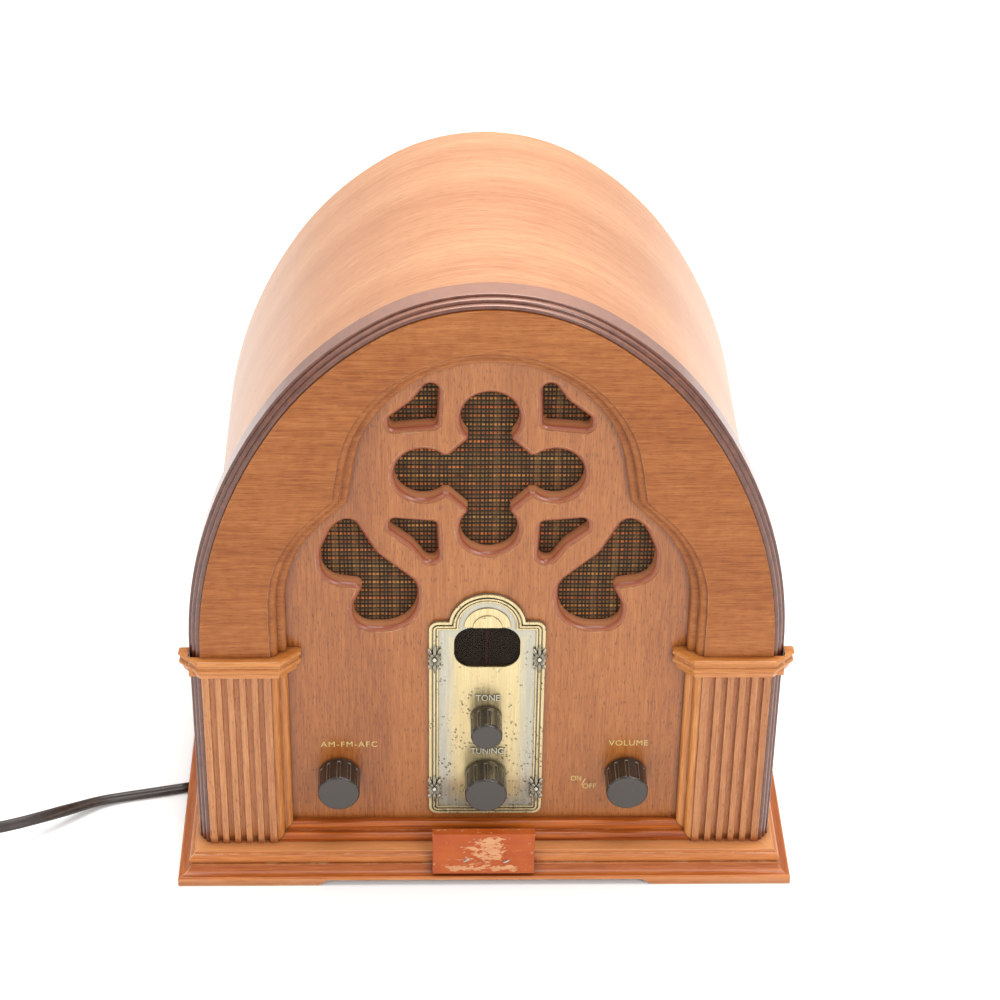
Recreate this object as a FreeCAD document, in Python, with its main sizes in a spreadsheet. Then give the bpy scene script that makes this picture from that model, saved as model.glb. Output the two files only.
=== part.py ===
import FreeCAD, Part
import math
import os
import re

# Cathedral radio: an arched wooden mantel radio with a carved grille, fluted
# pilasters and a metal dial plate.  Millimetres, +Z up, front towards -Y.
# The origin is the middle of the underside of the plinth's outline.
#
# A "setback" is a distance behind the plinth's front face.

SIZES = {
    # plinth
    "plinth_width": 275.0,
    "plinth_depth": 182.0,
    "plinth_top": 13.9,
    "strip_depth": 18.0,
    "foot_length": 62.5,
    "foot_height": 3.1,
    "foot_slope": 4.6,
    "base_board_bottom": 3.9,
    # arch of the outer moulding
    "arch_half_width": 128.2,
    "arch_spring": 119.5,
    "arch_side_radius": 213.0,
    "arch_side_turn": 34.25,
    "arch_shoulder_radius": 144.4,
    "arch_shoulder_turn": 24.1,
    # front, from the viewer inwards
    "capital_setback": 9.3,
    "panel_setback": 13.0,
    "moulding_setback": 18.8,
    "recess_setback": 21.0,
    "baffle_back_setback": 27.5,
    "shell_back_setback": 178.0,
    "panel_inset": 4.9,
    "shell_inset": 8.0,
    "shell_wall": 5.0,
    # stepped edge round the recess
    "edge_lip": 1.0,
    "edge_bead": 3.2,
    "edge_bead_inset": 3.4,
    "edge_inset": 7.0,
    "recess_half_width": 93.3,
    "recess_sill": 8.1,
    # three-lobed top of the recess
    "lobe_radius": 63.5,
    "lobe_centre": 206.4,
    "side_lobe_radius": 62.8,
    "side_lobe_centre": 145.0,
    "cusp_x": 65.4,
    "cusp_z": 198.8,
    # capitals and pilasters
    "capital_bottom": 107.8,
    "capital_top": 118.3,
    "capital_reach": 133.0,
    "capital_near": 80.1,
    "capital_return": 8.6,
    "reed_pitch": 5.25,
    "reed_groove": 2.65,
    "reed_depth": 2.5,
    # grille openings
    "rosette_height": 206.8,
    "rosette_lobe": 12.1,
    "rosette_reach": 27.4,
    "rosette_neck": 9.0,
    "rosette_flat": 25.8,
    "routed_edge": 2.2,
    # dial plate and window
    "plate_half_width": 25.1,
    "plate_bottom": 25.8,
    "plate_shoulder": 132.4,
    "plate_arch_radius": 16.5,
    "plate_arch_centre": 130.4,
    "plate_thickness": 1.0,
    "window_half_width": 14.3,
    "window_bottom": 107.8,
    "window_top": 129.1,
    "window_corner": 8.0,
    # controls
    "control_height": 47.5,
    "tone_height": 80.0,
    "band_x": -65.0,
    "volume_x": 62.6,
    "knob_radius": 9.3,
    "knob_length": 13.5,
    "tone_knob_radius": 6.95,
    "tone_knob_length": 12.9,
    "panel_knob_setback": 20.4,
    "plate_knob_setback": 18.7,
    "shaft_radius": 3.0,
    "running_gap": 0.05,
    "bush_radius": 4.0,
    # inside
    "chassis_setback": 48.0,
    "chassis_thickness": 1.2,
    "screw_length": 5.6,
    "drum_x": 44.0,
    "drum_height": 92.5,
    "drum_pitch_radius": 8.5,
    "pulley_x": -40.0,
    "pulley_height": 97.5,
    "pulley_pitch_radius": 3.5,
    "cord_setback": 38.0,
    "speaker_radius": 52.5,
    "cloth_thickness": 0.8,
    "back_setback": 171.0,
    "back_thickness": 3.0,
    # mains lead
    "lead_width": 5.4,
    "lead_thickness": 2.8,
    "lead_setback": 67.4,
    "relief_end": 136.5,
    "relief_start": 104.0,
    "coil_radius": 31.0,
    "coil_x": -284.6,
    "coil_setback": 49.3,
}

doc = FreeCAD.newDocument("cathedral_radio")
sheet = doc.addObject("Spreadsheet::Sheet", "sizes")
for row, (alias, value) in enumerate(SIZES.items(), start=1):
    sheet.set("A%d" % row, alias)
    sheet.set("B%d" % row, str(value))
    sheet.setAlias("B%d" % row, alias)
doc.recompute()

ALIASES = re.compile(r"\b(%s)\b" % "|".join(SIZES))
subparts = []


# ---------------------------------------------------------------- helpers

def size(alias):
    return float(sheet.get(alias))


def at(setback):
    """Y of a plane that lies this far behind the plinth's front face."""
    return setback - size("plinth_depth") / 2


def bind(thing, **properties):
    """Sets properties to numbers, or to expressions on the sheet's aliases."""
    for name, value in properties.items():
        path = name.replace("_at_", ".Base.")
        if isinstance(value, str):
            thing.setExpression(path, ALIASES.sub(r"sizes.\1", value))
        elif "_at_" not in name:
            setattr(thing, name, value)


def behind(setback):
    """Expression for the Y of a plane given by its setback."""
    return "%s - plinth_depth / 2" % setback


def keep(thing, label):
    thing.Label = label
    subparts.append(thing)
    return thing


def point(x, y):
    return FreeCAD.Vector(x, y, 0)


def line(start, end):
    return Part.LineSegment(point(*start), point(*end))


def arc(start, middle, end):
    return Part.Arc(point(*start), point(*middle), point(*end))


def polygon(points):
    following = points[1:] + points[:1]
    return [line(start, end) for start, end in zip(points, following)]


def circle(x, y, radius):
    return [Part.Circle(point(x, y), FreeCAD.Vector(0, 0, 1), radius)]


def mirrored(pairs):
    return [(-x, y) for x, y in pairs]


def polar(centre, radius, degrees):
    turn = math.radians(degrees)
    return (centre[0] + radius * math.cos(turn), centre[1] + radius * math.sin(turn))


def body(name):
    return doc.addObject("PartDesign::Body", name)


def sketch(owner, role, curves, height=None):
    """A sketch on one of the body's origin planes, raised along its normal."""
    drawing = owner.newObject("Sketcher::SketchObject", owner.Name + "_sketch")
    plane = [item for item in owner.Origin.OriginFeatures if item.Role == role][0]
    drawing.AttachmentSupport = (plane, "")
    drawing.MapMode = "FlatFace"
    drawing.addGeometry(curves, False)
    if height:
        bind(drawing, AttachmentOffset_at_z=height)
    return drawing


def pad(owner, drawing, length, **more):
    feature = owner.newObject("PartDesign::Pad", owner.Name + "_pad")
    feature.Profile = drawing
    bind(feature, Length=length, **more)
    owner.Tip = feature
    doc.recompute()
    return feature


def pocket(owner, drawing, length, **more):
    feature = owner.newObject("PartDesign::Pocket", owner.Name + "_pocket")
    feature.Profile = drawing
    volume = owner.Shape.Volume
    bind(feature, Length=length, **more)
    owner.Tip = feature
    doc.recompute()
    if feature.Shape.Volume >= volume - 1e-6:
        raise RuntimeError("%s cuts nothing" % feature.Label)
    return feature


def dress(owner, kind, amount, chosen):
    """Fillet or chamfer on the edges that the test picks."""
    base = owner.Tip
    names = ["Edge%d" % (i + 1) for i, edge in enumerate(base.Shape.Edges) if chosen(edge)]
    feature = owner.newObject("PartDesign::" + kind, owner.Name + "_" + kind.lower())
    feature.Base = (base, names)
    if kind == "Fillet":
        bind(feature, Radius=amount)
    else:
        bind(feature, Size=amount)
    owner.Tip = feature
    doc.recompute()
    return feature


def on_level(axis, level):
    """Test for edges that lie in one plane across the given local axis."""
    def test(edge):
        low = getattr(edge.BoundBox, axis + "Min")
        high = getattr(edge.BoundBox, axis + "Max")
        return abs(low - level) < 0.02 and abs(high - level) < 0.02
    return test


def box(name, length, width, height, x, y, z):
    """Box by its sizes along X, Y, Z and its lowest corner."""
    thing = doc.addObject("Part::Box", name)
    bind(thing, Length=length, Width=width, Height=height)
    bind(thing, Placement_at_x=str(x), Placement_at_y=str(y), Placement_at_z=str(z))
    return thing


def rod(name, radius, length, x, y, z, direction=(0, 1, 0)):
    """Cylinder from its base point along a direction."""
    thing = doc.addObject("Part::Cylinder", name)
    turn = FreeCAD.Rotation(FreeCAD.Vector(0, 0, 1), FreeCAD.Vector(*direction))
    thing.Placement = FreeCAD.Placement(FreeCAD.Vector(), turn)
    bind(thing, Radius=radius, Height=length)
    bind(thing, Placement_at_x=str(x), Placement_at_y=str(y), Placement_at_z=str(z))
    return thing


def fuse(name, pieces):
    thing = doc.addObject("Part::MultiFuse", name)
    thing.Shapes = pieces
    return thing


def cut(name, base, tools):
    thing = doc.addObject("Part::Cut", name)
    thing.Base = base
    thing.Tool = tools[0] if len(tools) == 1 else fuse(name + "_tools", tools)
    return thing


def group(name, pieces):
    thing = doc.addObject("Part::Compound", name)
    thing.Links = pieces
    return thing


# ---------------------------------------------------------------- outlines

def arch_path(inset, bottom):
    """Arch from its right foot over the crown to its left foot, drawn inside
    the outer moulding by the inset.  Side, shoulder and crown arcs meet in
    tangents, so an inset only shortens their radii."""
    side = size("arch_side_radius")
    shoulder = size("arch_shoulder_radius")
    first = size("arch_side_turn")
    second = first + size("arch_shoulder_turn")
    half = size("arch_half_width")
    spring = size("arch_spring")
    side_centre = (half - side, spring)
    joint = polar(side_centre, side, first)
    shoulder_centre = polar(joint, -shoulder, first)
    top_joint = polar(shoulder_centre, shoulder, second)
    crown = top_joint[0] / math.cos(math.radians(second))
    crown_centre = polar(top_joint, -crown, second)

    foot = (half - inset, bottom)
    start = (half - inset, spring)
    side_middle = polar(side_centre, side - inset, first / 2)
    side_end = polar(side_centre, side - inset, first)
    shoulder_middle = polar(shoulder_centre, shoulder - inset, (first + second) / 2)
    shoulder_end = polar(shoulder_centre, shoulder - inset, second)
    top = (0, crown_centre[1] + crown - inset)
    right = [foot, start, side_middle, side_end, shoulder_middle, shoulder_end]
    left = mirrored(right)
    return [
        line(right[0], right[1]),
        arc(right[1], right[2], right[3]),
        arc(right[3], right[4], right[5]),
        arc(right[5], top, left[5]),
        arc(left[5], left[4], left[3]),
        arc(left[3], left[2], left[1]),
        line(left[1], left[0]),
    ]


def arch_board(inset, bottom):
    half = size("arch_half_width") - inset
    return arch_path(inset, bottom) + [line((-half, bottom), (half, bottom))]


def arch_ring(outer, inner, bottom):
    """Band between two insets, open at the foot."""
    far = size("arch_half_width") - outer
    near = size("arch_half_width") - inner
    feet = [line((far, bottom), (near, bottom)), line((-far, bottom), (-near, bottom))]
    return arch_path(outer, bottom) + arch_path(inner, bottom) + feet


def recess_path(inset, bottom):
    """Three-lobed top of the recess, from right foot to left foot."""
    half = size("recess_half_width") - inset
    lean = 10.0
    side_centre = (size("recess_half_width") - size("side_lobe_radius"), size("side_lobe_centre"))
    side_radius = size("side_lobe_radius") - inset
    top_centre = (0, size("lobe_centre"))
    top_radius = size("lobe_radius") - inset
    # the cusp moves in along both of the straight flanks that meet in it
    bisector = math.radians(180 + (45 + lean) / 2)
    spread = inset / math.cos(math.radians((45 - lean) / 2))
    cusp = (size("cusp_x") + spread * math.cos(bisector), size("cusp_z") + spread * math.sin(bisector))
    right = [
        (half, bottom),
        (half, side_centre[1]),
        polar(side_centre, side_radius, 22.5),
        polar(side_centre, side_radius, 45),
        cusp,
        polar(top_centre, top_radius, lean),
    ]
    left = mirrored(right)
    top = (0, top_centre[1] + top_radius)
    return [
        line(right[0], right[1]),
        arc(right[1], right[2], right[3]),
        line(right[3], right[4]),
        line(right[4], right[5]),
        arc(right[5], top, left[5]),
        line(left[5], left[4]),
        line(left[4], left[3]),
        arc(left[3], left[2], left[1]),
        line(left[1], left[0]),
    ]


def rounded_polygon(corners, grow=0.0):
    """Closed outline from (x, y, radius) corners given clockwise, moved
    outwards by grow: outer corners gain radius and inner corners lose it."""
    count = len(corners)
    headings = []
    for i, (x, y, _) in enumerate(corners):
        ahead = corners[(i + 1) % count]
        length = math.hypot(ahead[0] - x, ahead[1] - y)
        headings.append(((ahead[0] - x) / length, (ahead[1] - y) / length))
    curves = []
    start = None
    for i, (x, y, radius) in enumerate(corners + corners[:1]):
        arriving = headings[(i - 1) % count]
        leaving = headings[i % count]
        turn = math.atan2(arriving[0] * leaving[1] - arriving[1] * leaving[0],
                          arriving[0] * leaving[0] + arriving[1] * leaving[1])
        outward = (-arriving[1] - leaving[1], arriving[0] + leaving[0])
        stretch = grow / (1 + math.cos(turn))
        corner = (x + outward[0] * stretch, y + outward[1] * stretch)
        reach = (radius - math.copysign(grow, turn)) * math.tan(abs(turn) / 2)
        first = (corner[0] - arriving[0] * reach, corner[1] - arriving[1] * reach)
        last = (corner[0] + leaving[0] * reach, corner[1] + leaving[1] * reach)
        pull = reach * math.tan(abs(turn) / 4) / (math.hypot(*outward) or 1)
        side = math.copysign(pull, turn)
        chord = ((first[0] + last[0]) / 2, (first[1] + last[1]) / 2)
        middle = (chord[0] + outward[0] * -side * math.cos(turn / 2),
                  chord[1] + outward[1] * -side * math.cos(turn / 2))
        if start:
            curves.append(line(start, first))
        if i < count:
            curves.append(arc(first, middle, last))
        start = last
    return curves


def rosette(grow=0.0):
    """Four round lobes joined by a square set on its corner."""
    reach = size("rosette_reach")
    neck = size("rosette_neck") + grow
    radius = size("rosette_lobe") + grow
    height = size("rosette_height")
    root = reach - math.sqrt(radius ** 2 - neck ** 2)
    shoulder = size("rosette_flat") + grow * math.sqrt(2) - neck
    curves = []
    for quarter in range(4):
        turn = math.radians(90 * quarter)

        def placed(x, y):
            return (x * math.cos(turn) - y * math.sin(turn),
                    x * math.sin(turn) + y * math.cos(turn) + height)
        curves.append(arc(placed(root, -neck), placed(reach + radius, 0), placed(root, neck)))
        curves.append(line(placed(root, neck), placed(shoulder, neck)))
        curves.append(line(placed(shoulder, neck), placed(neck, shoulder)))
        curves.append(line(placed(neck, shoulder), placed(neck, root)))
    return curves


def clockwise(corners, mirrorings):
    """Keeps the corners clockwise after an odd number of mirrorings."""
    return corners[::-1] if mirrorings % 2 else corners


def spandrel(side, level, grow=0.0):
    """Small three-cornered opening beside the rosette; side and level are -1
    or 1 for its left, right, lower or upper place."""
    height = size("rosette_height")
    shape = [(20.6, 51.8, 3.3), (31.8, 35.4, 8.0), (41.6, 27.2, 2.4), (41.2, 22.4, 2.2), (21.9, 24.2, 2.2)]
    placed = [(side * x, height + level * y, radius) for x, y, radius in shape]
    return rounded_polygon(clockwise(placed, (side < 0) + (level < 0)), grow)


def kidney(side, grow=0.0):
    """Large two-lobed opening below the rosette on one side."""
    shape = [
        (57.8, 186.2, 4.8), (65.8, 180.2, 12.0), (70.9, 168.0, 10.0), (70.4, 153.2, 10.0),
        (52.6, 150.6, 2.7), (57.2, 140.0, 4.0), (57.6, 128.2, 8.0), (30.2, 128.2, 15.0),
        (30.0, 151.2, 9.5), (47.4, 166.8, 14.0),
    ]
    placed = [(side * x, y, radius) for x, y, radius in shape]
    return rounded_polygon(clockwise(placed, side < 0), grow)


def quarter_round(inset, depth, radius, steps=4):
    """Points (inset, depth) of a quarter round that turns inwards."""
    turns = [math.radians(90 * step / steps) for step in range(1, steps + 1)]
    return [(inset + radius * math.sin(turn), depth + radius * (1 - math.cos(turn))) for turn in turns]


def standing_wire(curves, setback):
    """Outline drawn in X and Z, stood up at a setback."""
    wire = Part.Wire(Part.__sortEdges__([curve.toShape() for curve in curves]))
    wire.rotate(FreeCAD.Vector(), FreeCAD.Vector(1, 0, 0), 90)
    wire.translate(FreeCAD.Vector(0, at(setback), 0))
    return wire


def shaped_cutter(outline, section, face):
    """Solid that cuts an opening with a shaped edge; the section's points are
    (inset, depth) from the face, and outline(inset) draws the opening."""
    wires = [standing_wire(outline(inset), face + depth) for inset, depth in section]
    return Part.makeLoft(wires, True, True)


def dial_plate_outline(inset):
    """Tall plate with rounded shoulders and a half-round top."""
    half = size("plate_half_width") - inset
    bottom = size("plate_bottom") + inset
    shoulder = size("plate_shoulder") - inset
    radius = size("plate_arch_radius") - inset
    centre = size("plate_arch_centre")
    corner = max(4.0 - inset, 0.6)
    slant = corner * (1 - math.sqrt(0.5))
    spring = math.sqrt(radius ** 2 - (shoulder - centre) ** 2)
    return [
        line((-half + corner, bottom), (half - corner, bottom)),
        arc((half - corner, bottom), (half - slant, bottom + slant), (half, bottom + corner)),
        line((half, bottom + corner), (half, shoulder - corner)),
        arc((half, shoulder - corner), (half - slant, shoulder - slant), (half - corner, shoulder)),
        line((half - corner, shoulder), (spring, shoulder)),
        arc((spring, shoulder), (0, centre + radius), (-spring, shoulder)),
        line((-spring, shoulder), (-half + corner, shoulder)),
        arc((-half + corner, shoulder), (-half + slant, shoulder - slant), (-half, shoulder - corner)),
        line((-half, shoulder - corner), (-half, bottom + corner)),
        arc((-half, bottom + corner), (-half + slant, bottom + slant), (-half + corner, bottom)),
    ]


def rounded_rectangle(half, bottom, top, corner):
    slant = corner * (1 - math.sqrt(0.5))
    return [
        line((-half + corner, bottom), (half - corner, bottom)),
        arc((half - corner, bottom), (half - slant, bottom + slant), (half, bottom + corner)),
        line((half, bottom + corner), (half, top - corner)),
        arc((half, top - corner), (half - slant, top - slant), (half - corner, top)),
        line((half - corner, top), (-half + corner, top)),
        arc((-half + corner, top), (-half + slant, top - slant), (-half, top - corner)),
        line((-half, top - corner), (-half, bottom + corner)),
        arc((-half, bottom + corner), (-half + slant, bottom + slant), (-half + corner, bottom)),
    ]


# ---------------------------------------------------------------- cabinet

def plinth_profile():
    """Section of the plinth strip as (setback, height)."""
    top = size("plinth_top")
    deep = size("strip_depth")
    return [
        line((0, 0), (0, 3.5)),
        arc((0, 3.5), (0.3, 4.3), (1.1, 4.6)),
        line((1.1, 4.6), (2.0, 4.6)),
        arc((2.0, 4.6), (4.3, 5.7), (5.4, 8.2)),
        line((5.4, 8.2), (6.2, 8.6)),
        arc((6.2, 8.6), (5.0, 10.6), (6.2, 12.4)),
        line((6.2, 12.4), (7.0, 12.7)),
        arc((7.0, 12.7), (7.3, 13.5), (7.9, top)),
        line((7.9, top), (deep, top)),
        line((deep, top), (deep, 0)),
        line((deep, 0), (0, 0)),
    ]


def make_plinth_strip(label, length, mitres, turn, x, y, notch=0.0):
    """Moulded strip along local X, front to local -Y, mitred at the ends named
    by -1 and 1, with feet at both ends and an optional notch for the lead."""
    owner = body(label)
    profile = sketch(owner, "YZ_Plane", plinth_profile())
    pad(owner, profile, length, Midplane=True)
    span = owner.Shape.BoundBox.XMax
    deep = size("strip_depth")
    corners = []
    for end in mitres:
        corners += polygon([(end * span, 0), (end * span, deep + 1), (end * (span - deep - 1), deep + 1)])
    pocket(owner, sketch(owner, "XY_Plane", corners), "plinth_top + 1", Reversed=True)
    low = size("foot_height")
    inner = span - size("foot_length") * span / (size("plinth_width") / 2)
    crown = inner - size("foot_slope")
    gap = polygon([(-inner, -0.01), (inner, -0.01), (crown, low), (-crown, low)])
    pocket(owner, sketch(owner, "XZ_Plane", gap), "strip_depth")
    if notch:
        left = size("plinth_depth") / 2 - size("lead_setback") - notch / 2
        slot = polygon([(left, -0.01), (left + notch, -0.01), (left + notch, 3.45), (left, 3.45)])
        pocket(owner, sketch(owner, "XZ_Plane", slot), "strip_depth")
    owner.Placement.Rotation = FreeCAD.Rotation(FreeCAD.Vector(0, 0, 1), turn)
    bind(owner, Placement_at_x=x, Placement_at_y=y)
    return keep(owner, label)


def make_plinth():
    make_plinth_strip("plinth_front", "plinth_width", (-1, 1), 0, "0", "-plinth_depth / 2")
    make_plinth_strip("plinth_left", "plinth_depth", (1,), -90, "-plinth_width / 2", "0", notch=6.5)
    make_plinth_strip("plinth_right", "plinth_depth", (-1,), 90, "plinth_width / 2", "0")
    board = box("base_blank", "plinth_width - 2 * strip_depth", "plinth_depth - strip_depth",
                "plinth_top - base_board_bottom", "strip_depth - plinth_width / 2",
                "strip_depth - plinth_depth / 2", "base_board_bottom")
    hole = rod("lead_hole", "4.5", "plinth_top", "-relief_start", behind("lead_setback"), "0", (0, 0, 1))
    keep(cut("base_board", board, [hole]), "base_board")


def make_outer_moulding():
    """Dark moulding round the arch: three steps with rounded noses, rebated
    at the back for the baffle."""
    owner = body("outer_moulding")
    bottom = size("plinth_top")
    steps = [
        (0.0, size("shell_inset") + 1.0, "baffle_back_setback - recess_setback", None),
        (0.0, size("panel_inset"), "recess_setback - moulding_setback + 0.4",
         "baffle_back_setback - recess_setback"),
        (1.3, size("panel_inset"), "2.3", "baffle_back_setback - moulding_setback + 0.4"),
        (3.0, size("panel_inset"), "2.0", "baffle_back_setback - moulding_setback + 2.7"),
    ]
    for outer, inner, length, height in steps:
        pad(owner, sketch(owner, "XZ_Plane", arch_ring(outer, inner, bottom), height), length)
    back = size("baffle_back_setback") - size("moulding_setback")
    noses = [(0.0, back + 0.4, "0.5"), (1.3, back + 2.7, "1.1"), (3.0, back + 4.7, "0.9")]
    for outer, level, radius in noses:
        dress(owner, "Fillet", radius, outermost_edges(outer, level))
    bind(owner, Placement_at_y=behind("baffle_back_setback"))
    return keep(owner, "outer_moulding")


def outermost_edges(inset, level):
    """Test for the edges of an arch ring's outer curve at one level."""
    in_plane = on_level("Y", -level)
    path = [curve.toShape() for curve in arch_path(inset, size("plinth_top"))]

    def test(edge):
        if not in_plane(edge) or edge.BoundBox.ZLength < 0.1:
            return False
        middle = edge.valueAt((edge.FirstParameter + edge.LastParameter) / 2)
        flat = Part.Vertex(middle.x, middle.z, 0)
        return min(flat.distToShape(curve)[0] for curve in path) < 0.05
    return test


def make_front_frame():
    """Arched board whose three-lobed opening has a stepped, rounded edge."""
    owner = body("front_frame_board")
    pad(owner, sketch(owner, "XZ_Plane", arch_board(size("panel_inset") + 0.1, size("capital_top"))),
        "recess_setback - panel_setback")
    bind(owner, Placement_at_y=behind("recess_setback"))
    lip = size("edge_lip")
    bead = size("edge_bead")
    bead_inset = size("edge_bead_inset")
    inset = size("edge_inset")
    section = [(0.0, -1.0), (0.0, lip)]
    section += [(bead_inset - 2.2, lip + 0.05)] + quarter_round(bead_inset - 2.2, lip + 0.05, 2.2)
    section += [(bead_inset + 0.02, lip + bead)]
    section += [(inset - 1.8, lip + bead + 0.05)] + quarter_round(inset - 1.8, lip + bead + 0.05, 1.8)
    section += [(inset + 0.01, size("recess_setback") - size("panel_setback") + 1)]

    def opening(inset_now):
        bottom = size("capital_top") - 1
        half = size("recess_half_width") - inset_now
        return recess_path(inset_now, bottom) + [line((-half, bottom), (half, bottom))]
    cutter = doc.addObject("Part::Feature", "recess_cutter")
    cutter.Shape = shaped_cutter(opening, section, size("panel_setback"))
    return keep(cut("front_frame", owner, [cutter]), "front_frame")


def make_recess_moulding():
    """Lower part of the stepped edge: two sides between the pilasters and the
    recess, and a taller sill along the bottom."""
    owner = body("recess_moulding")
    half = size("recess_half_width")
    bottom = size("plinth_top")
    top = size("capital_bottom")
    depth = size("recess_setback") - size("panel_setback")
    step = depth - size("edge_lip") - size("edge_bead")
    rise = size("recess_sill") / size("edge_inset")
    layers = [
        (size("edge_inset"), str(step), None),
        (size("edge_bead_inset"), "edge_bead", str(step)),
    ]
    for inset, length, height in layers:
        near = half - inset
        sill = bottom + inset * rise
        shape = polygon([(half, bottom), (half, top), (near, top), (near, sill),
                         (-near, sill), (-near, top), (-half, top), (-half, bottom)])
        pad(owner, sketch(owner, "XZ_Plane", shape, height), length)

    def inner_edges(level, inset):
        def test(edge):
            spread = max(abs(edge.BoundBox.XMin), abs(edge.BoundBox.XMax))
            inside = spread < half - inset + 0.05 and edge.BoundBox.ZMin > bottom + 0.1
            flat_top = edge.BoundBox.ZMin > top - 0.05
            return on_level("Y", -level)(edge) and inside and not flat_top
        return test
    dress(owner, "Fillet", "2.2", inner_edges(step + size("edge_bead"), size("edge_bead_inset")))
    dress(owner, "Fillet", "1.8", inner_edges(step, size("edge_inset")))
    bind(owner, Placement_at_y=behind("recess_setback"))
    return keep(owner, "recess_moulding")


def make_baffle():
    """Inner board: grille openings with routed edges, and control holes."""
    owner = body("baffle_board")
    window = rounded_rectangle(17.0, 104.0, 132.5, 2.0)
    controls = circle(0, size("tone_height"), 5.0)
    for x in (size("band_x"), 0.0, size("volume_x")):
        controls += circle(x, size("control_height"), 5.0)
    board = arch_board(size("shell_inset") + 1.1, size("plinth_top"))
    pad(owner, sketch(owner, "XZ_Plane", board + window + controls), "baffle_back_setback - recess_setback")
    bind(owner, Placement_at_y=behind("baffle_back_setback"))
    openings = [rosette]
    for side in (-1, 1):
        openings.append(lambda grow, side=side: kidney(side, grow))
        for level in (-1, 1):
            openings.append(lambda grow, side=side, level=level: spandrel(side, level, grow))
    edge = size("routed_edge")
    section = [(0.0, -1.0), (0.0, 0.35)] + quarter_round(0.0, 0.4, edge)
    section += [(edge + 0.01, size("baffle_back_setback") - size("recess_setback") + 1)]
    cutters = []
    for opening in openings:
        cutter = doc.addObject("Part::Feature", "grille_cutter")
        cutter.Shape = shaped_cutter(lambda inset: opening(edge - inset), section, size("recess_setback"))
        cutters.append(cutter)
    return keep(cut("baffle", owner, cutters), "baffle")


def make_cabinet_shell():
    owner = body("cabinet_shell")
    ring = arch_ring(size("shell_inset"), size("shell_inset") + size("shell_wall"), size("plinth_top"))
    pad(owner, sketch(owner, "XZ_Plane", ring), "shell_back_setback - baffle_back_setback")
    bind(owner, Placement_at_y=behind("shell_back_setback"))
    return keep(owner, "cabinet_shell")


def make_grille_cloth():
    """Cloth over the back of the openings, cut away round the dial."""
    owner = body("grille_cloth")
    outline = arch_board(size("shell_inset") + size("shell_wall") + 6, 119.0)
    pad(owner, sketch(owner, "XZ_Plane", outline), "cloth_thickness")
    gap = polygon([(-25, 118), (25, 118), (25, 134.6), (-25, 134.6)])
    pocket(owner, sketch(owner, "XZ_Plane", gap), "cloth_thickness + 1", Midplane=True)
    bind(owner, Placement_at_y=behind("baffle_back_setback + cloth_thickness"))
    return keep(owner, "grille_cloth")


def make_pilaster(label, side):
    """Board with five square grooves between six reeds."""
    owner = body(label)
    near = size("recess_half_width")
    far = size("arch_half_width") - size("panel_inset") - 0.1
    bottom = size("plinth_top")
    top = size("capital_bottom")
    back = size("recess_setback") - size("panel_setback")
    floor = size("reed_depth")
    middle = (near + far) / 2
    outline = [(near, 0), (near, -back)]
    for groove in range(-2, 3):
        left = middle + groove * size("reed_pitch") - size("reed_groove") / 2
        right = left + size("reed_groove")
        outline += [(left, -back), (left, floor - back), (right, floor - back), (right, -back)]
    outline += [(far, -back), (far, 0)]
    outline = [(side * x, y) for x, y in outline]
    pad(owner, sketch(owner, "XY_Plane", polygon(outline)), "capital_bottom - plinth_top")
    bind(owner, Placement_at_y=behind("recess_setback"), Placement_at_z="plinth_top")
    return keep(owner, label)


def capital_plan(side, inset):
    """Plan of a capital from above: 45 degree returns that run into short
    straight ends, notched behind for the outer moulding."""
    front = size("capital_setback")
    corner = front + size("capital_return")
    slant = inset * (math.sqrt(2) - 1)
    outer_end = size("capital_reach") - inset
    inner_end = size("capital_near") + inset
    back = size("recess_setback")
    shelf = size("panel_setback") + 0.9
    moulding_side = size("arch_half_width") + 0.25
    moulding_inside = size("arch_half_width") - size("panel_inset") - 0.1
    plan = [
        (size("capital_reach") - size("capital_return") - slant, front + inset),
        (outer_end, corner + slant),
        (outer_end, back),
        (moulding_side, back),
        (moulding_side, shelf),
        (moulding_inside, shelf),
        (moulding_inside, back),
        (inner_end, back),
        (inner_end, corner + slant),
        (size("capital_near") + size("capital_return") + slant, front + inset),
    ]
    return polygon([(side * x, at(y)) for x, y in plan])


def make_capital(label, side):
    """Turned section carried round the plan, from the underside up: tapered
    neck, quirk, bead, cove and top lip, as (inset, height) pairs."""
    neck = [(3.1, 0.0), (2.4, 0.5), (1.7, 2.8), (1.75, 3.4), (1.2, 3.6)]
    bead = []
    for turn in (35, 65, 90, 115, 145):
        swell = math.sin(math.radians(turn))
        bead.append((0.25 + 0.95 * (1 - swell), 5.2 - 1.5 * math.cos(math.radians(turn))))
    cove = [(1.0, 6.7), (1.1, 7.3), (0.95, 8.0)]
    lip = [(0.35, 8.5), (0.05, 8.9), (0.0, 9.3), (0.12, 9.8), (0.45, 10.2), (1.1, 10.5)]
    section = neck + bead + cove + lip
    owner = body(label)
    drawings = []
    for inset, height in section:
        level = str(round(height, 3)) if height else None
        drawings.append(sketch(owner, "XY_Plane", capital_plan(side, inset), level))
    feature = owner.newObject("PartDesign::AdditiveLoft", label + "_loft")
    feature.Profile = drawings[0]
    feature.Sections = drawings[1:]
    feature.Ruled = True
    owner.Tip = feature
    doc.recompute()
    bind(owner, Placement_at_z="capital_bottom")
    return keep(owner, label)


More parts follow.
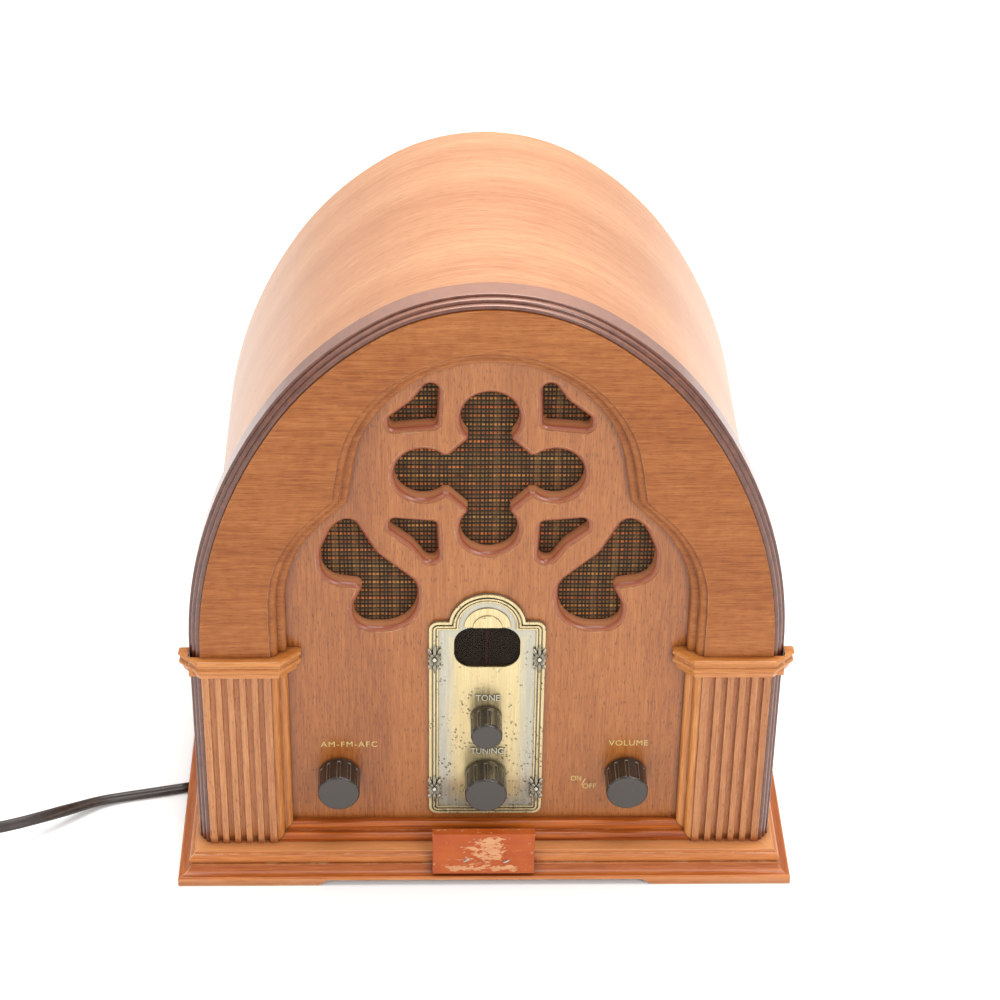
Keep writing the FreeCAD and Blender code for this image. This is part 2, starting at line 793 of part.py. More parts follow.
def make_label_block():
    """Small block fixed to the front of the plinth; its lower back corner is
    bevelled to sit on the moulding."""
    owner = body("label_block")
    profile = polygon([(0.4, 5.6), (4.9, 9.0), (4.9, 29.0), (0.4, 29.0)])
    pad(owner, sketch(owner, "YZ_Plane", profile), "45.6", Midplane=True)
    dress(owner, "Fillet", "0.6", lambda edge: edge.BoundBox.YMax < 0.45)
    bind(owner, Placement_at_x="-0.8", Placement_at_y="-plinth_depth / 2")
    return keep(owner, "label_block")


def make_back():
    inset = size("shell_inset") + size("shell_wall") + 0.3
    owner = body("back_panel")
    holes = []
    for x, z in back_screw_places():
        holes += circle(x, z, 1.9)
    for row in range(7):
        middle = 120.0 + 12.0 * row
        holes += rounded_rectangle(38.0, middle - 2.5, middle + 2.5, 2.4)
    curves = arch_board(inset, size("plinth_top") + 0.3) + holes
    pad(owner, sketch(owner, "XZ_Plane", curves), "back_thickness")
    bind(owner, Placement_at_y=behind("back_setback + back_thickness"))
    keep(owner, "back_panel")

    side = "arch_half_width - shell_inset - shell_wall"
    ledge = behind("back_setback - 10")
    blanks = [
        box("cleat_left", "10", "10", "90", "-(%s)" % side, ledge, "22"),
        box("cleat_right", "10", "10", "90", "%s - 10" % side, ledge, "22"),
        box("cleat_top", "60", "10", "9", "-30", ledge, "264"),
    ]
    pilots = [rod("cleat_pilot", "1.8", "12", x, ledge, z) for x, z in back_screw_places()]
    keep(cut("back_cleats", group("cleat_blanks", blanks), pilots), "back_cleats")

    screws = []
    for x, z in back_screw_places():
        head = rod("back_screw_head", "3.4", "1.8", x, behind("back_setback + back_thickness"), z)
        shank = rod("back_screw_shank", "1.7", "11", x, behind("back_setback - 8"), z)
        screws.append(fuse("back_screw", [head, shank]))
    keep(group("back_screws", screws), "back_screws")


def back_screw_places():
    side = size("arch_half_width") - size("shell_inset") - size("shell_wall") - 5
    return [(-side, 35.0), (-side, 98.0), (side, 35.0), (side, 98.0), (-20.0, 268.5), (20.0, 268.5)]


# ---------------------------------------------------------------- dial

def make_escutcheon():
    """Metal dial plate: flat field, ribbed rim, stepped half-round boss over
    the window and two control holes."""
    owner = body("escutcheon")
    window = rounded_rectangle(size("window_half_width"), size("window_bottom"),
                               size("window_top"), size("window_corner"))
    holes = circle(0, size("tone_height"), 4.5) + circle(0, size("control_height"), 4.5)
    field = dial_plate_outline(0) + window + holes
    pad(owner, sketch(owner, "XZ_Plane", field), "plate_thickness")
    for outer, inner, height in ((0.0, 1.2, 0.7), (1.9, 2.7, 0.9), (3.3, 4.0, 0.6)):
        rib = dial_plate_outline(outer) + dial_plate_outline(inner)
        pad(owner, sketch(owner, "XZ_Plane", rib, "plate_thickness"), str(height))
    boss_foot = size("window_top") + 0.6
    for radius, height in ((10.0, 0.5), (6.2, 1.0)):
        boss = [line((-radius, boss_foot), (radius, boss_foot)),
                arc((radius, boss_foot), (0, boss_foot + radius), (-radius, boss_foot))]
        pad(owner, sketch(owner, "XZ_Plane", boss, "plate_thickness"), str(height))
    bind(owner, Placement_at_y=behind("recess_setback"))
    return keep(owner, "escutcheon")


def make_dial():
    lens = body("dial_lens")
    outline = rounded_rectangle(16.6, 104.4, 132.1, 1.6)
    pad(lens, sketch(lens, "XZ_Plane", outline), "1.0")
    bind(lens, Placement_at_y=behind("recess_setback + 1.05"))
    keep(lens, "dial_lens")

    tray = box("dial_tray_blank", "48", "4", "29.5", "-24", behind("baffle_back_setback"), "104.5")
    hollow = box("dial_tray_hollow", "45.6", "2.8", "29", "-22.8",
                 behind("baffle_back_setback - 0.01"), "103.8")
    keep(cut("dial_plate", tray, [hollow]), "dial_plate")

    front = behind("baffle_back_setback + 0.9")
    needle = box("pointer_needle", "1.0", "0.7", "29.5", "-0.5", front, "98.6")
    arm = box("pointer_arm", "3", "11.2", "1.2", "-1.5", front, "98.6")
    clip = box("pointer_clip", "7", "2.6", "0.9", "-3.5", behind("cord_setback - 1.3"), "99.5")
    keep(fuse("dial_pointer", [needle, arm, clip]), "dial_pointer")

    socket = rod("lamp_holder", "5", "chassis_setback - 39", "0", behind("39"), "141")
    keep(socket, "lamp_holder")
    glass = rod("lamp_glass", "3.1", "4.5", "0", behind("34.5"), "141")
    tip = doc.addObject("Part::Sphere", "lamp_tip")
    bind(tip, Radius="3.1", Placement_at_y=behind("34.5"), Placement_at_z="141")
    keep(fuse("dial_lamp", [glass, tip]), "dial_lamp")


# ---------------------------------------------------------------- controls

def make_knob(label, radius, length, flutes, x, setback, z):
    """Fluted knob on local +Z, which points at the user; blind bore behind."""
    owner = body(label)
    rim = size(radius)
    pad(owner, sketch(owner, "XY_Plane", circle(0, 0, rim)), length)
    dress(owner, "Fillet", "1.3", lambda edge: on_level("Z", size(length))(edge))
    flute = sketch(owner, "XY_Plane", circle(rim + 0.45, 0, 0.85), "1.8")
    groove = pocket(owner, flute, length, Reversed=True)
    pattern = owner.newObject("PartDesign::PolarPattern", label + "_flutes")
    pattern.Originals = [groove]
    pattern.Axis = (groove.Profile[0], ["N_Axis"])
    pattern.Angle = 360
    pattern.Occurrences = flutes
    owner.Tip = pattern
    doc.recompute()
    bore = circle(0, 0, size("shaft_radius") + 0.02)
    pocket(owner, sketch(owner, "XY_Plane", bore), "%s - 3.5" % length, Reversed=True)
    owner.Placement.Rotation = FreeCAD.Rotation(FreeCAD.Vector(1, 0, 0), 90)
    bind(owner, Placement_at_x=x, Placement_at_y=behind(setback), Placement_at_z=z)
    return keep(owner, label)


def make_shaft(label, knob_setback, knob_length, x, z):
    """Round shaft from inside the knob to the end of its control."""
    start = "%s - %s + 4" % (knob_setback, knob_length)
    length = "chassis_setback + 5.8 - (%s)" % start
    return keep(rod(label, "shaft_radius", length, x, behind(start), z), label)


def make_control(label, can_radius, can_length, x, z, lugs=True):
    """Rotary control behind the chassis plate with a threaded bush through it."""
    face = behind("chassis_setback + chassis_thickness")
    can = rod(label + "_can", can_radius, can_length, x, face, z)
    bush = rod(label + "_bush", "bush_radius", "8", x, behind("chassis_setback + chassis_thickness - 8"), z)
    bore = rod(label + "_bore", "shaft_radius + running_gap", "16", x, behind("chassis_setback - 9"), z)
    solids = [can, bush]
    for offset in (-5, 0, 5) if lugs else ():
        solids.append(box(label + "_lug", "1.6", "0.8", "5", "%s + %s - 0.8" % (x, offset),
                        behind("chassis_setback + 5"), "%s - %s - 3.5" % (z, can_radius)))
    return keep(cut(label, fuse(label + "_solid", solids), [bore]), label)


def make_nuts(places):
    """Hexagon nuts that clamp the controls to the chassis plate."""
    nuts = []
    for x, z in places:
        nut = doc.addObject("Part::Prism", "control_nut_blank")
        nut.Polygon = 6
        nut.Placement.Rotation = FreeCAD.Rotation(FreeCAD.Vector(0, 0, 1), FreeCAD.Vector(0, 1, 0))
        bind(nut, Circumradius="6.9", Height="2.4")
        bind(nut, Placement_at_x=x, Placement_at_y=behind("chassis_setback - 2.4"), Placement_at_z=z)
        hole = rod("control_nut_hole", "bush_radius + 0.03", "4", x, behind("chassis_setback - 3"), z)
        nuts.append(cut("control_nut", nut, [hole]))
    return keep(group("control_nuts", nuts), "control_nuts")


def make_controls():
    panel_controls = [("band", "band_x", "panel_knob_setback"), ("volume", "volume_x", "panel_knob_setback"),
                      ("tuning", "0", "plate_knob_setback")]
    for name, x, setback in panel_controls:
        make_knob(name + "_knob", "knob_radius", "knob_length", 12, x, setback, "control_height")
        make_shaft(name + "_shaft", setback, "knob_length", x, "control_height")
    make_knob("tone_knob", "tone_knob_radius", "tone_knob_length", 9, "0", "plate_knob_setback", "tone_height")
    make_shaft("tone_shaft", "plate_knob_setback", "tone_knob_length", "0", "tone_height")
    make_control("tone_pot", "8.5", "9", "0", "tone_height")
    make_control("volume_pot", "10.5", "15", "volume_x", "control_height")
    make_control("band_switch", "14", "11", "band_x", "control_height")
    make_control("tuning_bearing", "5.5", "7", "0", "control_height", lugs=False)
    make_nuts([("0", "tone_height"), ("volume_x", "control_height"),
               ("band_x", "control_height"), ("0", "control_height")])


# ---------------------------------------------------------------- tuning drive

def grooved_wheel(label, pitch_radius, flange, bore, x, z):
    """Wheel with a square groove whose floor lies just under the cord."""
    front = "cord_setback - 2"
    blank = rod(label + "_blank", "%s + %s" % (pitch_radius, flange), "4", x, behind(front), z)
    outer = rod(label + "_outer", "%s + 4" % pitch_radius, "2", x, behind("cord_setback - 1"), z)
    floor = rod(label + "_floor", "%s - 0.5" % pitch_radius, "2", x, behind("cord_setback - 1"), z)
    ring = cut(label + "_groove", outer, [floor])
    hole = rod(label + "_hole", bore, "6", x, behind("cord_setback - 3"), z)
    return keep(cut(label, blank, [ring, hole]), label)


def tangent_points(first, second):
    """Where the outer tangent on the left of the way from one circle to the
    next touches them; a circle is (x, z, radius)."""
    across = (second[0] - first[0], second[1] - first[1])
    distance = math.hypot(*across)
    heading = math.atan2(across[1], across[0])
    lean = math.acos((first[2] - second[2]) / distance)
    touch = math.degrees(heading + lean)
    return polar(first[:2], first[2], touch), polar(second[:2], second[2], touch)


def make_dial_cord():
    """Closed loop over the pulley, the drum and the underside of the shaft."""
    shaft = (0.0, size("control_height"), size("shaft_radius") + 0.5)
    drum = (size("drum_x"), size("drum_height"), size("drum_pitch_radius"))
    pulley = (size("pulley_x"), size("pulley_height"), size("pulley_pitch_radius"))
    wheels = [pulley, drum, shaft]
    level = at(size("cord_setback"))

    def lifted(place):
        return FreeCAD.Vector(place[0], level, place[1])
    runs = [tangent_points(wheels[i], wheels[(i + 1) % 3]) for i in range(3)]
    edges = []
    for i in range(3):
        leaving, arriving = runs[i]
        wheel = wheels[(i + 1) % 3]
        following = runs[(i + 1) % 3][0]
        start = math.atan2(arriving[1] - wheel[1], arriving[0] - wheel[0])
        end = math.atan2(following[1] - wheel[1], following[0] - wheel[0])
        if end > start:
            end -= 2 * math.pi
        middle = polar(wheel[:2], wheel[2], math.degrees((start + end) / 2))
        edges.append(Part.LineSegment(lifted(leaving), lifted(arriving)).toShape())
        edges.append(Part.Arc(lifted(arriving), lifted(middle), lifted(following)).toShape())
    wire = Part.Wire(edges)
    first = edges[0]
    section = Part.Wire(Part.Circle(first.valueAt(0), first.tangentAt(0), 0.4).toShape())
    cord = doc.addObject("Part::Feature", "dial_cord")
    cord.Shape = wire.makePipeShell([section], True, True)
    return keep(cord, "dial_cord")


def make_tuning_drive():
    grooved_wheel("tuning_drum", "drum_pitch_radius", "1.6", "3.02", "drum_x", "drum_height")
    grooved_wheel("cord_pulley", "pulley_pitch_radius", "1.4", "1.55", "pulley_x", "pulley_height")
    make_dial_cord()
    # sealed capacitor: housing, and plates on the drum's shaft
    face = "chassis_setback + chassis_thickness"
    case = box("capacitor_case", "25", "20", "25", "drum_x - 12.5", behind(face), "drum_height - 12.5")
    room = rod("capacitor_room", "11.2", "15.6", "drum_x", behind(face + " + 2.2"), "drum_height")
    entry = rod("capacitor_entry", "shaft_radius + running_gap", "6", "drum_x", behind(face + " - 1"),
                "drum_height")
    keep(cut("tuning_capacitor", case, [room, entry]), "tuning_capacitor")
    spindle = rod("capacitor_spindle", "shaft_radius", "chassis_setback + 16.5 - 35", "drum_x",
                  behind("35"), "drum_height")
    pieces = [spindle]
    for layer in range(4):
        vane = rod("capacitor_vane", "10.4", "0.8", "drum_x", behind("%s + %s" % (face, 3.4 + 3 * layer)),
                   "drum_height")
        vane.Angle = 180
        pieces.append(vane)
    keep(fuse("capacitor_rotor", pieces), "capacitor_rotor")


# ---------------------------------------------------------------- chassis

def make_chassis():
    owner = body("chassis_plate")
    holes = circle(0, size("tone_height"), 4.05)
    for x in (size("band_x"), 0.0, size("volume_x")):
        holes += circle(x, size("control_height"), 4.05)
    holes += circle(size("drum_x"), size("drum_height"), 3.6)
    for x, z in chassis_corners():
        holes += circle(x, z, 1.7)
    outline = rounded_rectangle(94.0, 22.0, 148.0, 3.0)
    pad(owner, sketch(owner, "XZ_Plane", outline + holes), "chassis_thickness")
    stud = circle(size("pulley_x"), size("pulley_height"), 1.5)
    pad(owner, sketch(owner, "XZ_Plane", stud, "chassis_thickness"), "chassis_setback - cord_setback + 2.6")
    bind(owner, Placement_at_y=behind("chassis_setback + chassis_thickness"))
    keep(owner, "chassis_plate")

    posts = []
    length = "chassis_setback - baffle_back_setback"
    for x, z in chassis_corners():
        post = rod("post_blank", "4", length, x, behind("baffle_back_setback"), z)
        bore = rod("post_bore", "1.55", "10", x, behind("chassis_setback - 9"), z)
        posts.append(cut("post", post, [bore]))
    for x, y in board_corners():
        posts.append(rod("board_post", "3", "8", x, y, "plinth_top", (0, 0, 1)))
    keep(group("standoffs", posts), "standoffs")


def chassis_corners():
    return [(-88.0, 30.0), (88.0, 30.0), (-88.0, 112.0), (88.0, 112.0)]


def make_machine_screws():
    """Identical screws that hold the chassis to its posts and the speaker to
    the baffle."""
    places = [(x, z, "chassis_setback + chassis_thickness") for x, z in chassis_corners()]
    for x, z in speaker_screw_places():
        places.append((x, size("rosette_height") + z, "baffle_back_setback + cloth_thickness + 1.25"))
    screws = []
    for x, z, seat in places:
        head = rod("screw_head", "3", "1.8", x, behind(seat), z)
        shank = rod("screw_shank", "1.5", "screw_length", x, behind(seat + " - screw_length"), z)
        screws.append(fuse("machine_screw", [head, shank]))
    return keep(group("machine_screws", screws), "machine_screws")


def board_corners():
    return [(x, at(setback)) for x in (-90.0, 20.0) for setback in (80.0, 134.0)]


def make_circuit_board():
    level = "plinth_top + 8"
    keep(box("circuit_board", "122", "66", "1.6", "-96", behind("74"), level), "circuit_board")
    top = "plinth_top + 9.6"
    cans = [(-80, 95, 8, 25), (-58, 92, 6.5, 20), (-36, 98, 5, 12), (-80, 120, 5, 12), (5, 94, 6.5, 20)]
    pieces = []
    for x, setback, radius, height in cans:
        pieces.append(rod("capacitor_can", str(radius), str(height), x, at(setback), top, (0, 0, 1)))
    for x in (-56, -36, -16):
        pieces.append(box("screening_can", "10", "10", "13", x, behind("112"), top))
    pieces.append(box("amplifier_chip", "20", "7", "4", "-20", behind("84"), top))
    for fin in range(5):
        pieces.append(box("heat_sink_fin", "1.5", "16", "22", -2 + 4 * fin, behind("110"), top))
    keep(group("board_components", pieces), "board_components")


def make_transformer():
    """Laminated core with two windows and a winding round its middle leg."""
    left, front, width, deep, tall = 44, 96, 52, 24, 44
    base = size("plinth_top")
    blank = box("core_blank", width, deep, tall, left, at(front), base)
    windows = []
    for offset in (8, 32):
        windows.append(box("core_window", 12, deep + 2, tall - 16, left + offset, at(front - 1), base + 8))
    keep(cut("transformer_core", blank, windows), "transformer_core")
    outer = box("winding_blank", 35.4, deep + 18, tall - 16.4, left + 8.3, at(front - 9), base + 8.2)
    leg = box("winding_leg", 12.2, deep + 0.2, tall, left + 19.9, at(front - 0.1), base)
    keep(cut("transformer_winding", outer, [leg]), "transformer_winding")


def make_antenna():
    """Ferrite rod in two clips behind the board, with its coil."""
    height = 42.0
    keep(rod("ferrite_rod", "5", "120", "-60", behind("150"), height, (1, 0, 0)), "ferrite_rod")
    winding = rod("coil_outer", "6.4", "30", "-20", behind("150"), height, (1, 0, 0))
    core = rod("coil_inner", "5.05", "32", "-21", behind("150"), height, (1, 0, 0))
    keep(cut("antenna_coil", winding, [core]), "antenna_coil")
    clips = []
    for x in (-50, 42):
        blank = box("clip_blank", 8, 14, "42 + 8 - plinth_top", x, behind("143"), "plinth_top")
        hole = rod("clip_hole", "5.05", "10", x - 1, behind("150"), height, (1, 0, 0))
        clips.append(cut("clip", blank, [hole]))
    keep(group("rod_clips", clips), "rod_clips")


# ---------------------------------------------------------------- speaker

def revolved(label, outline):
    """Solid of revolution; the outline is (radius, distance behind flange)."""
    owner = body(label)
    feature = owner.newObject("PartDesign::Revolution", label + "_turn")
    feature.Profile = sketch(owner, "XY_Plane", polygon(outline))
    axis = [item for item in owner.Origin.OriginFeatures if item.Role == "Y_Axis"][0]
    feature.ReferenceAxis = (axis, [""])
    feature.Angle = 360
    owner.Tip = feature
    doc.recompute()
    bind(owner, Placement_at_y=behind("baffle_back_setback + cloth_thickness"),
         Placement_at_z="rosette_height")
    return owner


def sector(inner, outer, first, last):
    """Outline of part of a ring between two angles."""
    near = [polar((0, 0), inner, turn) for turn in (first, (first + last) / 2, last)]
    far = [polar((0, 0), outer, turn) for turn in (first, (first + last) / 2, last)]
    return [arc(*near), line(near[2], far[2]), arc(*far), line(far[0], near[0])]


def make_speaker():
    rim = size("speaker_radius")
    basket = revolved("speaker_basket", [
        (44.5, 0), (rim, 0), (rim, 1.2), (46.5, 1.2), (46.5, 8), (28, 24), (28, 27), (11, 27), (11, 25.8),
        (26.8, 25.8), (26.8, 23.2), (45.3, 7.2), (45.3, 1.2), (44.5, 1.2)])
    windows = []
    for side in range(4):
        windows += sector(30.0, 43.5, 90 * side + 17, 90 * side + 73)
    pocket(basket, sketch(basket, "XZ_Plane", windows, "-3"), "30")
    for x, z in speaker_screw_places():
        pocket(basket, sketch(basket, "XZ_Plane", circle(x, z, 1.8), "-5"), "10", Reversed=True)
    keep(basket, "speaker_basket")
    cone = revolved("speaker_cone", [
        (44.3, 1.5), (42.5, 0.6), (40.5, 1.5), (13, 19.5), (9.5, 19.5), (6, 17), (0, 16), (0, 16.6),
        (5.8, 17.6), (9.2, 20.2), (13.2, 20.2), (40.6, 2.2), (42.5, 1.3), (44.3, 2.2)])
    keep(cone, "speaker_cone")
    magnet = revolved("speaker_magnet", [
        (0, 21.5), (8, 21.5), (8, 27.2), (27, 27.2), (27, 31), (30, 31), (30, 43), (27, 43), (27, 46),
        (0, 46)])
    keep(magnet, "speaker_magnet")


def speaker_screw_places():
    return [(49.6, 0.0), (-49.6, 0.0), (0.0, 49.6), (0.0, -49.6)]


# ---------------------------------------------------------------- mains lead

def lead_route():
    """Route of the lead's middle from the strain relief to the coil."""
    flat = size("lead_thickness") / 2 + 0.1
    places = [
        (-size("relief_end"), size("lead_setback"), flat), (-151.0, 63.9, flat), (-166.0, 60.6, flat),
        (-178.5, 56.2, 2.6), (-189.2, 46.8, 6.0), (-200.5, 37.4, 9.5), (-213.0, 30.2, 11.0),
        (-226.5, 26.4, 10.6), (-240.0, 24.4, 8.8), (-253.0, 23.8, 7.0), (-266.0, 22.0, 6.0),
        (-278.4, 18.9, 6.0),
    ]
    return [FreeCAD.Vector(x, at(setback), z) for x, setback, z in places]


def plug_route():
    """The few centimetres of lead between the coil and the plug."""
    height = 5.7
    places = [(-317.0, 37.0, height), (-322.2, 49.0, height), (-326.2, 60.2, height)]
    return [FreeCAD.Vector(x, at(setback), z) for x, setback, z in places]


def bent_path(points, name):
    """Straight runs joined by tangent arcs as wide as the runs allow."""
    edges = []
    start = points[0]
    radii = []
    for before, corner, after in zip(points, points[1:], points[2:]):
        arriving = corner - before
        leaving = after - corner
        run = min(arriving.Length, leaving.Length)
        arriving.normalize()
        leaving.normalize()
        half_turn = arriving.getAngle(leaving) / 2
        reach = 0.45 * run
        radii.append(reach / math.tan(half_turn))
        first = corner - arriving * reach
        last = corner + leaving * reach
        inward = leaving - arriving
        inward.normalize()
        middle = corner + inward * (radii[-1] / math.cos(half_turn) - radii[-1])
        edges.append(Part.LineSegment(start, first).toShape())
        edges.append(Part.Arc(first, middle, last).toShape())
        start = last
    edges.append(Part.LineSegment(start, points[-1]).toShape())
    wire = Part.Wire(edges)
    print(name, "length", round(wire.Length, 1), "least radius", round(min(radii), 1))
    return wire


def flat_tube(points, name):
    """Flat twin lead along a route, its wide side kept level."""
    wire = bent_path(points, name)
    wide = size("lead_width") / 2
    thick = size("lead_thickness") / 2
    straight = wide - thick
    outline = [
        Part.LineSegment(FreeCAD.Vector(-straight, -thick, 0), FreeCAD.Vector(straight, -thick, 0)),
        Part.Arc(FreeCAD.Vector(straight, -thick, 0), FreeCAD.Vector(wide, 0, 0),
                 FreeCAD.Vector(straight, thick, 0)),
        Part.LineSegment(FreeCAD.Vector(straight, thick, 0), FreeCAD.Vector(-straight, thick, 0)),
        Part.Arc(FreeCAD.Vector(-straight, thick, 0), FreeCAD.Vector(-wide, 0, 0),
                 FreeCAD.Vector(-straight, -thick, 0)),
    ]
    section = Part.Wire([curve.toShape() for curve in outline])
    ahead = points[1] - points[0]
    across = ahead.cross(FreeCAD.Vector(0, 0, 1))
    facing = FreeCAD.Rotation(across, FreeCAD.Vector(), ahead, "ZXY")
    section.Placement = FreeCAD.Placement(points[0], facing)
    sweep = Part.BRepOffsetAPI.MakePipeShell(wire)
    sweep.setBiNormalMode(FreeCAD.Vector(0, 0, 1))
    sweep.add(section, False, False)
    sweep.build()
    sweep.makeSolid()
    solid = sweep.shape()
    expected = (math.pi * thick ** 2 + 4 * straight * thick) * wire.Length
    if abs(solid.Volume - expected) > 0.01 * expected:
        raise RuntimeError("%s: volume %.0f, expected %.0f" % (name, solid.Volume, expected))
    return solid


def make_lead():
    """Lead from a clamp under the base board, out through the left plinth
    strip, to a coil and a plug."""
    relief = body("strain_relief")
    slim = size("lead_width") / 2 + 0.45
    wide = slim + 2.5
    start = -size("relief_start")
    end = -size("relief_end")
    plan = polygon([(end, -slim), (start - 15, -slim), (start - 5, -wide), (start, -wide),
                    (start, wide), (start - 5, wide), (start - 15, slim), (end, slim)])
    pad(relief, sketch(relief, "XY_Plane", plan, "0.2"), "3.2")
    bind(relief, Placement_at_y=behind("lead_setback"))
    keep(relief, "strain_relief")

    lead = doc.addObject("Part::Feature", "power_cord")
    lead.Shape = Part.makeCompound([flat_tube(lead_route(), "lead"), flat_tube(plug_route(), "plug tail")])
    keep(lead, "power_cord")

    coil = body("cord_coil")
    section = rounded_rectangle(8.0, 0.3, 11.6, 3.5)
    for curve in section:
        curve.translate(FreeCAD.Vector(size("coil_radius"), 0, 0))
    feature = coil.newObject("PartDesign::Revolution", "cord_coil_turn")
    feature.Profile = sketch(coil, "XZ_Plane", section)
    axis = [item for item in coil.Origin.OriginFeatures if item.Role == "Z_Axis"][0]
    feature.ReferenceAxis = (axis, [""])
    feature.Angle = 360
    coil.Tip = feature
    bind(coil, Placement_at_x="coil_x", Placement_at_y=behind("coil_setback"))
    keep(coil, "cord_coil")
    make_plug()


def make_plug():
    """Moulded two-pin plug lying flat at the end of its tail."""
    end = plug_route()[-1]
    heading = end - plug_route()[-2]
    heading.normalize()
    turn = FreeCAD.Rotation(FreeCAD.Vector(1, 0, 0), heading)
    place = FreeCAD.Placement(end, turn)
    shell = body("plug")
    half = [(0, 3.6), (6, 4.2), (11, 10.5), (27, 12)]
    outline = polygon([(x, -y) for x, y in half] + half[::-1])
    pad(shell, sketch(shell, "XY_Plane", outline), "11.2", Midplane=True)
    dress(shell, "Fillet", "2.0", lambda edge: edge.BoundBox.XMin > 7 and edge.BoundBox.ZLength < 0.1
          and edge.BoundBox.XMax < 27.1 and edge.BoundBox.XLength > 3)
    shell.Placement = place
    keep(shell, "plug")
    prongs = []
    for side in (-1, 1):
        prong = doc.addObject("Part::Box", "prong")
        bind(prong, Length="16", Width="1.5", Height="6.3")
        corner = FreeCAD.Vector(27.0, side * 6.35 - 0.75, -3.15)
        prong.Placement = place.multiply(FreeCAD.Placement(corner, FreeCAD.Rotation()))
        prongs.append(prong)
    keep(group("plug_prongs", prongs), "plug_prongs")


# ---------------------------------------------------------------- build

def make_all():
    make_plinth()
    make_outer_moulding()
    make_front_frame()
    make_recess_moulding()
    make_baffle()
    make_cabinet_shell()
    make_grille_cloth()
    for name, side in (("left", -1), ("right", 1)):
        make_pilaster("pilaster_" + name, side)
        make_capital("capital_" + name, side)
    make_label_block()
    make_back()
    make_escutcheon()
    make_dial()
    make_controls()
    make_tuning_drive()
    make_chassis()
    make_circuit_board()
    make_transformer()
    make_antenna()
    make_speaker()
    make_machine_screws()
    make_lead()


def check_all():
    for thing in doc.Objects:
        if "Invalid" in thing.State or "Error" in thing.State:
            raise RuntimeError("%s failed: %s" % (thing.Name, thing.State))
    for thing in subparts:
        if thing.Shape.isNull() or not thing.Shape.isValid() or not thing.Shape.Solids:
            raise RuntimeError("%s has no valid shape" % thing.Label)


make_all()
doc.recompute()
check_all()
os.makedirs("parts", exist_ok=True)
for thing in subparts:
    thing.Shape.exportStep("parts/%s.step" % thing.Label)
print(len(subparts), "sub-parts written")
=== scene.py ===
import math
import random

import bpy
import numpy as np
from mathutils import Matrix, Vector


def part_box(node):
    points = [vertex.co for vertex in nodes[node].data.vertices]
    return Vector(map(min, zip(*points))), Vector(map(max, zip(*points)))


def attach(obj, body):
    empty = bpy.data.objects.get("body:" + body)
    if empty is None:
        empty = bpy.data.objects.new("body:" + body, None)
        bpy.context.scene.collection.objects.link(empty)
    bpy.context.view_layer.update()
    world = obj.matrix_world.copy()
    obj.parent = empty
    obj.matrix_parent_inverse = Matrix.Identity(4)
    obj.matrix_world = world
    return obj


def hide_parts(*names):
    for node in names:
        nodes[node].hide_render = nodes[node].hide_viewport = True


# Looks of the arched mantel radio.  Metres, front towards -Y, +Z up, the
# origin under the middle of the plinth.  A "setback" is a distance in
# millimetres behind the plinth's front face.

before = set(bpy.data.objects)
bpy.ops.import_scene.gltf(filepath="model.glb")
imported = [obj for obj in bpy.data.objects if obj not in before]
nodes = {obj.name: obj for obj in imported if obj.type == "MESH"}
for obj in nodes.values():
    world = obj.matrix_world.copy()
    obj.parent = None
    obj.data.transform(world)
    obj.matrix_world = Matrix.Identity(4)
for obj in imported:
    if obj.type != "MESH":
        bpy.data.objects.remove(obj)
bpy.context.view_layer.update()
MM = 0.001
PLINTH_DEPTH = 182.0


def spot(x, setback, z):
    """A point from its X, setback and Z in millimetres."""
    return Vector((x * MM, (setback - PLINTH_DEPTH / 2) * MM, z * MM))


# ---------------------------------------------------------------- camera

CAMERA_PITCH, CAMERA_YAW, CAMERA_ROLL = 33.956, 1.825, 0.976  # degrees
CAMERA_PLACE = (-0.02535, -1.00618, 0.82533)
FOCAL_LENGTH = 97.68
SENSOR_WIDTH = 36


def make_camera():
    pitch = math.radians(CAMERA_PITCH)
    yaw = math.radians(CAMERA_YAW)
    roll = math.radians(CAMERA_ROLL)
    ahead = Vector((math.sin(yaw) * math.cos(pitch), math.cos(yaw) * math.cos(pitch),
                    -math.sin(pitch)))
    right = Vector((math.cos(yaw), -math.sin(yaw), 0))
    up = right.cross(ahead)
    rolled_right = right * math.cos(roll) + up * math.sin(roll)
    rolled_up = up * math.cos(roll) - right * math.sin(roll)
    lens = bpy.data.cameras.new("camera")
    lens.lens = FOCAL_LENGTH
    lens.sensor_width = SENSOR_WIDTH
    camera = bpy.data.objects.new("camera", lens)
    columns = Matrix((rolled_right, rolled_up, -ahead)).transposed().to_4x4()
    camera.matrix_world = Matrix.Translation(Vector(CAMERA_PLACE)) @ columns
    bpy.context.scene.collection.objects.link(camera)
    bpy.context.scene.camera = camera


# ---------------------------------------------------------------- meshes

def mesh_object(name, points, faces, smooth=True):
    mesh = bpy.data.meshes.new(name)
    mesh.from_pydata([tuple(p) for p in points], [], faces)
    mesh.update()
    if smooth:
        mesh.shade_smooth()
    thing = bpy.data.objects.new(name, mesh)
    bpy.context.scene.collection.objects.link(thing)
    return thing


def skin(rings):
    """Points and faces of a closed tube through rings of equal length."""
    count = len(rings[0])
    points = [p for ring in rings for p in ring]
    faces = []
    for i in range(len(rings) - 1):
        for j in range(count):
            k = (j + 1) % count
            faces.append((i * count + j, i * count + k, (i + 1) * count + k, (i + 1) * count + j))
    faces.append(tuple(reversed(range(count))))
    last = (len(rings) - 1) * count
    faces.append(tuple(range(last, last + count)))
    return points, faces


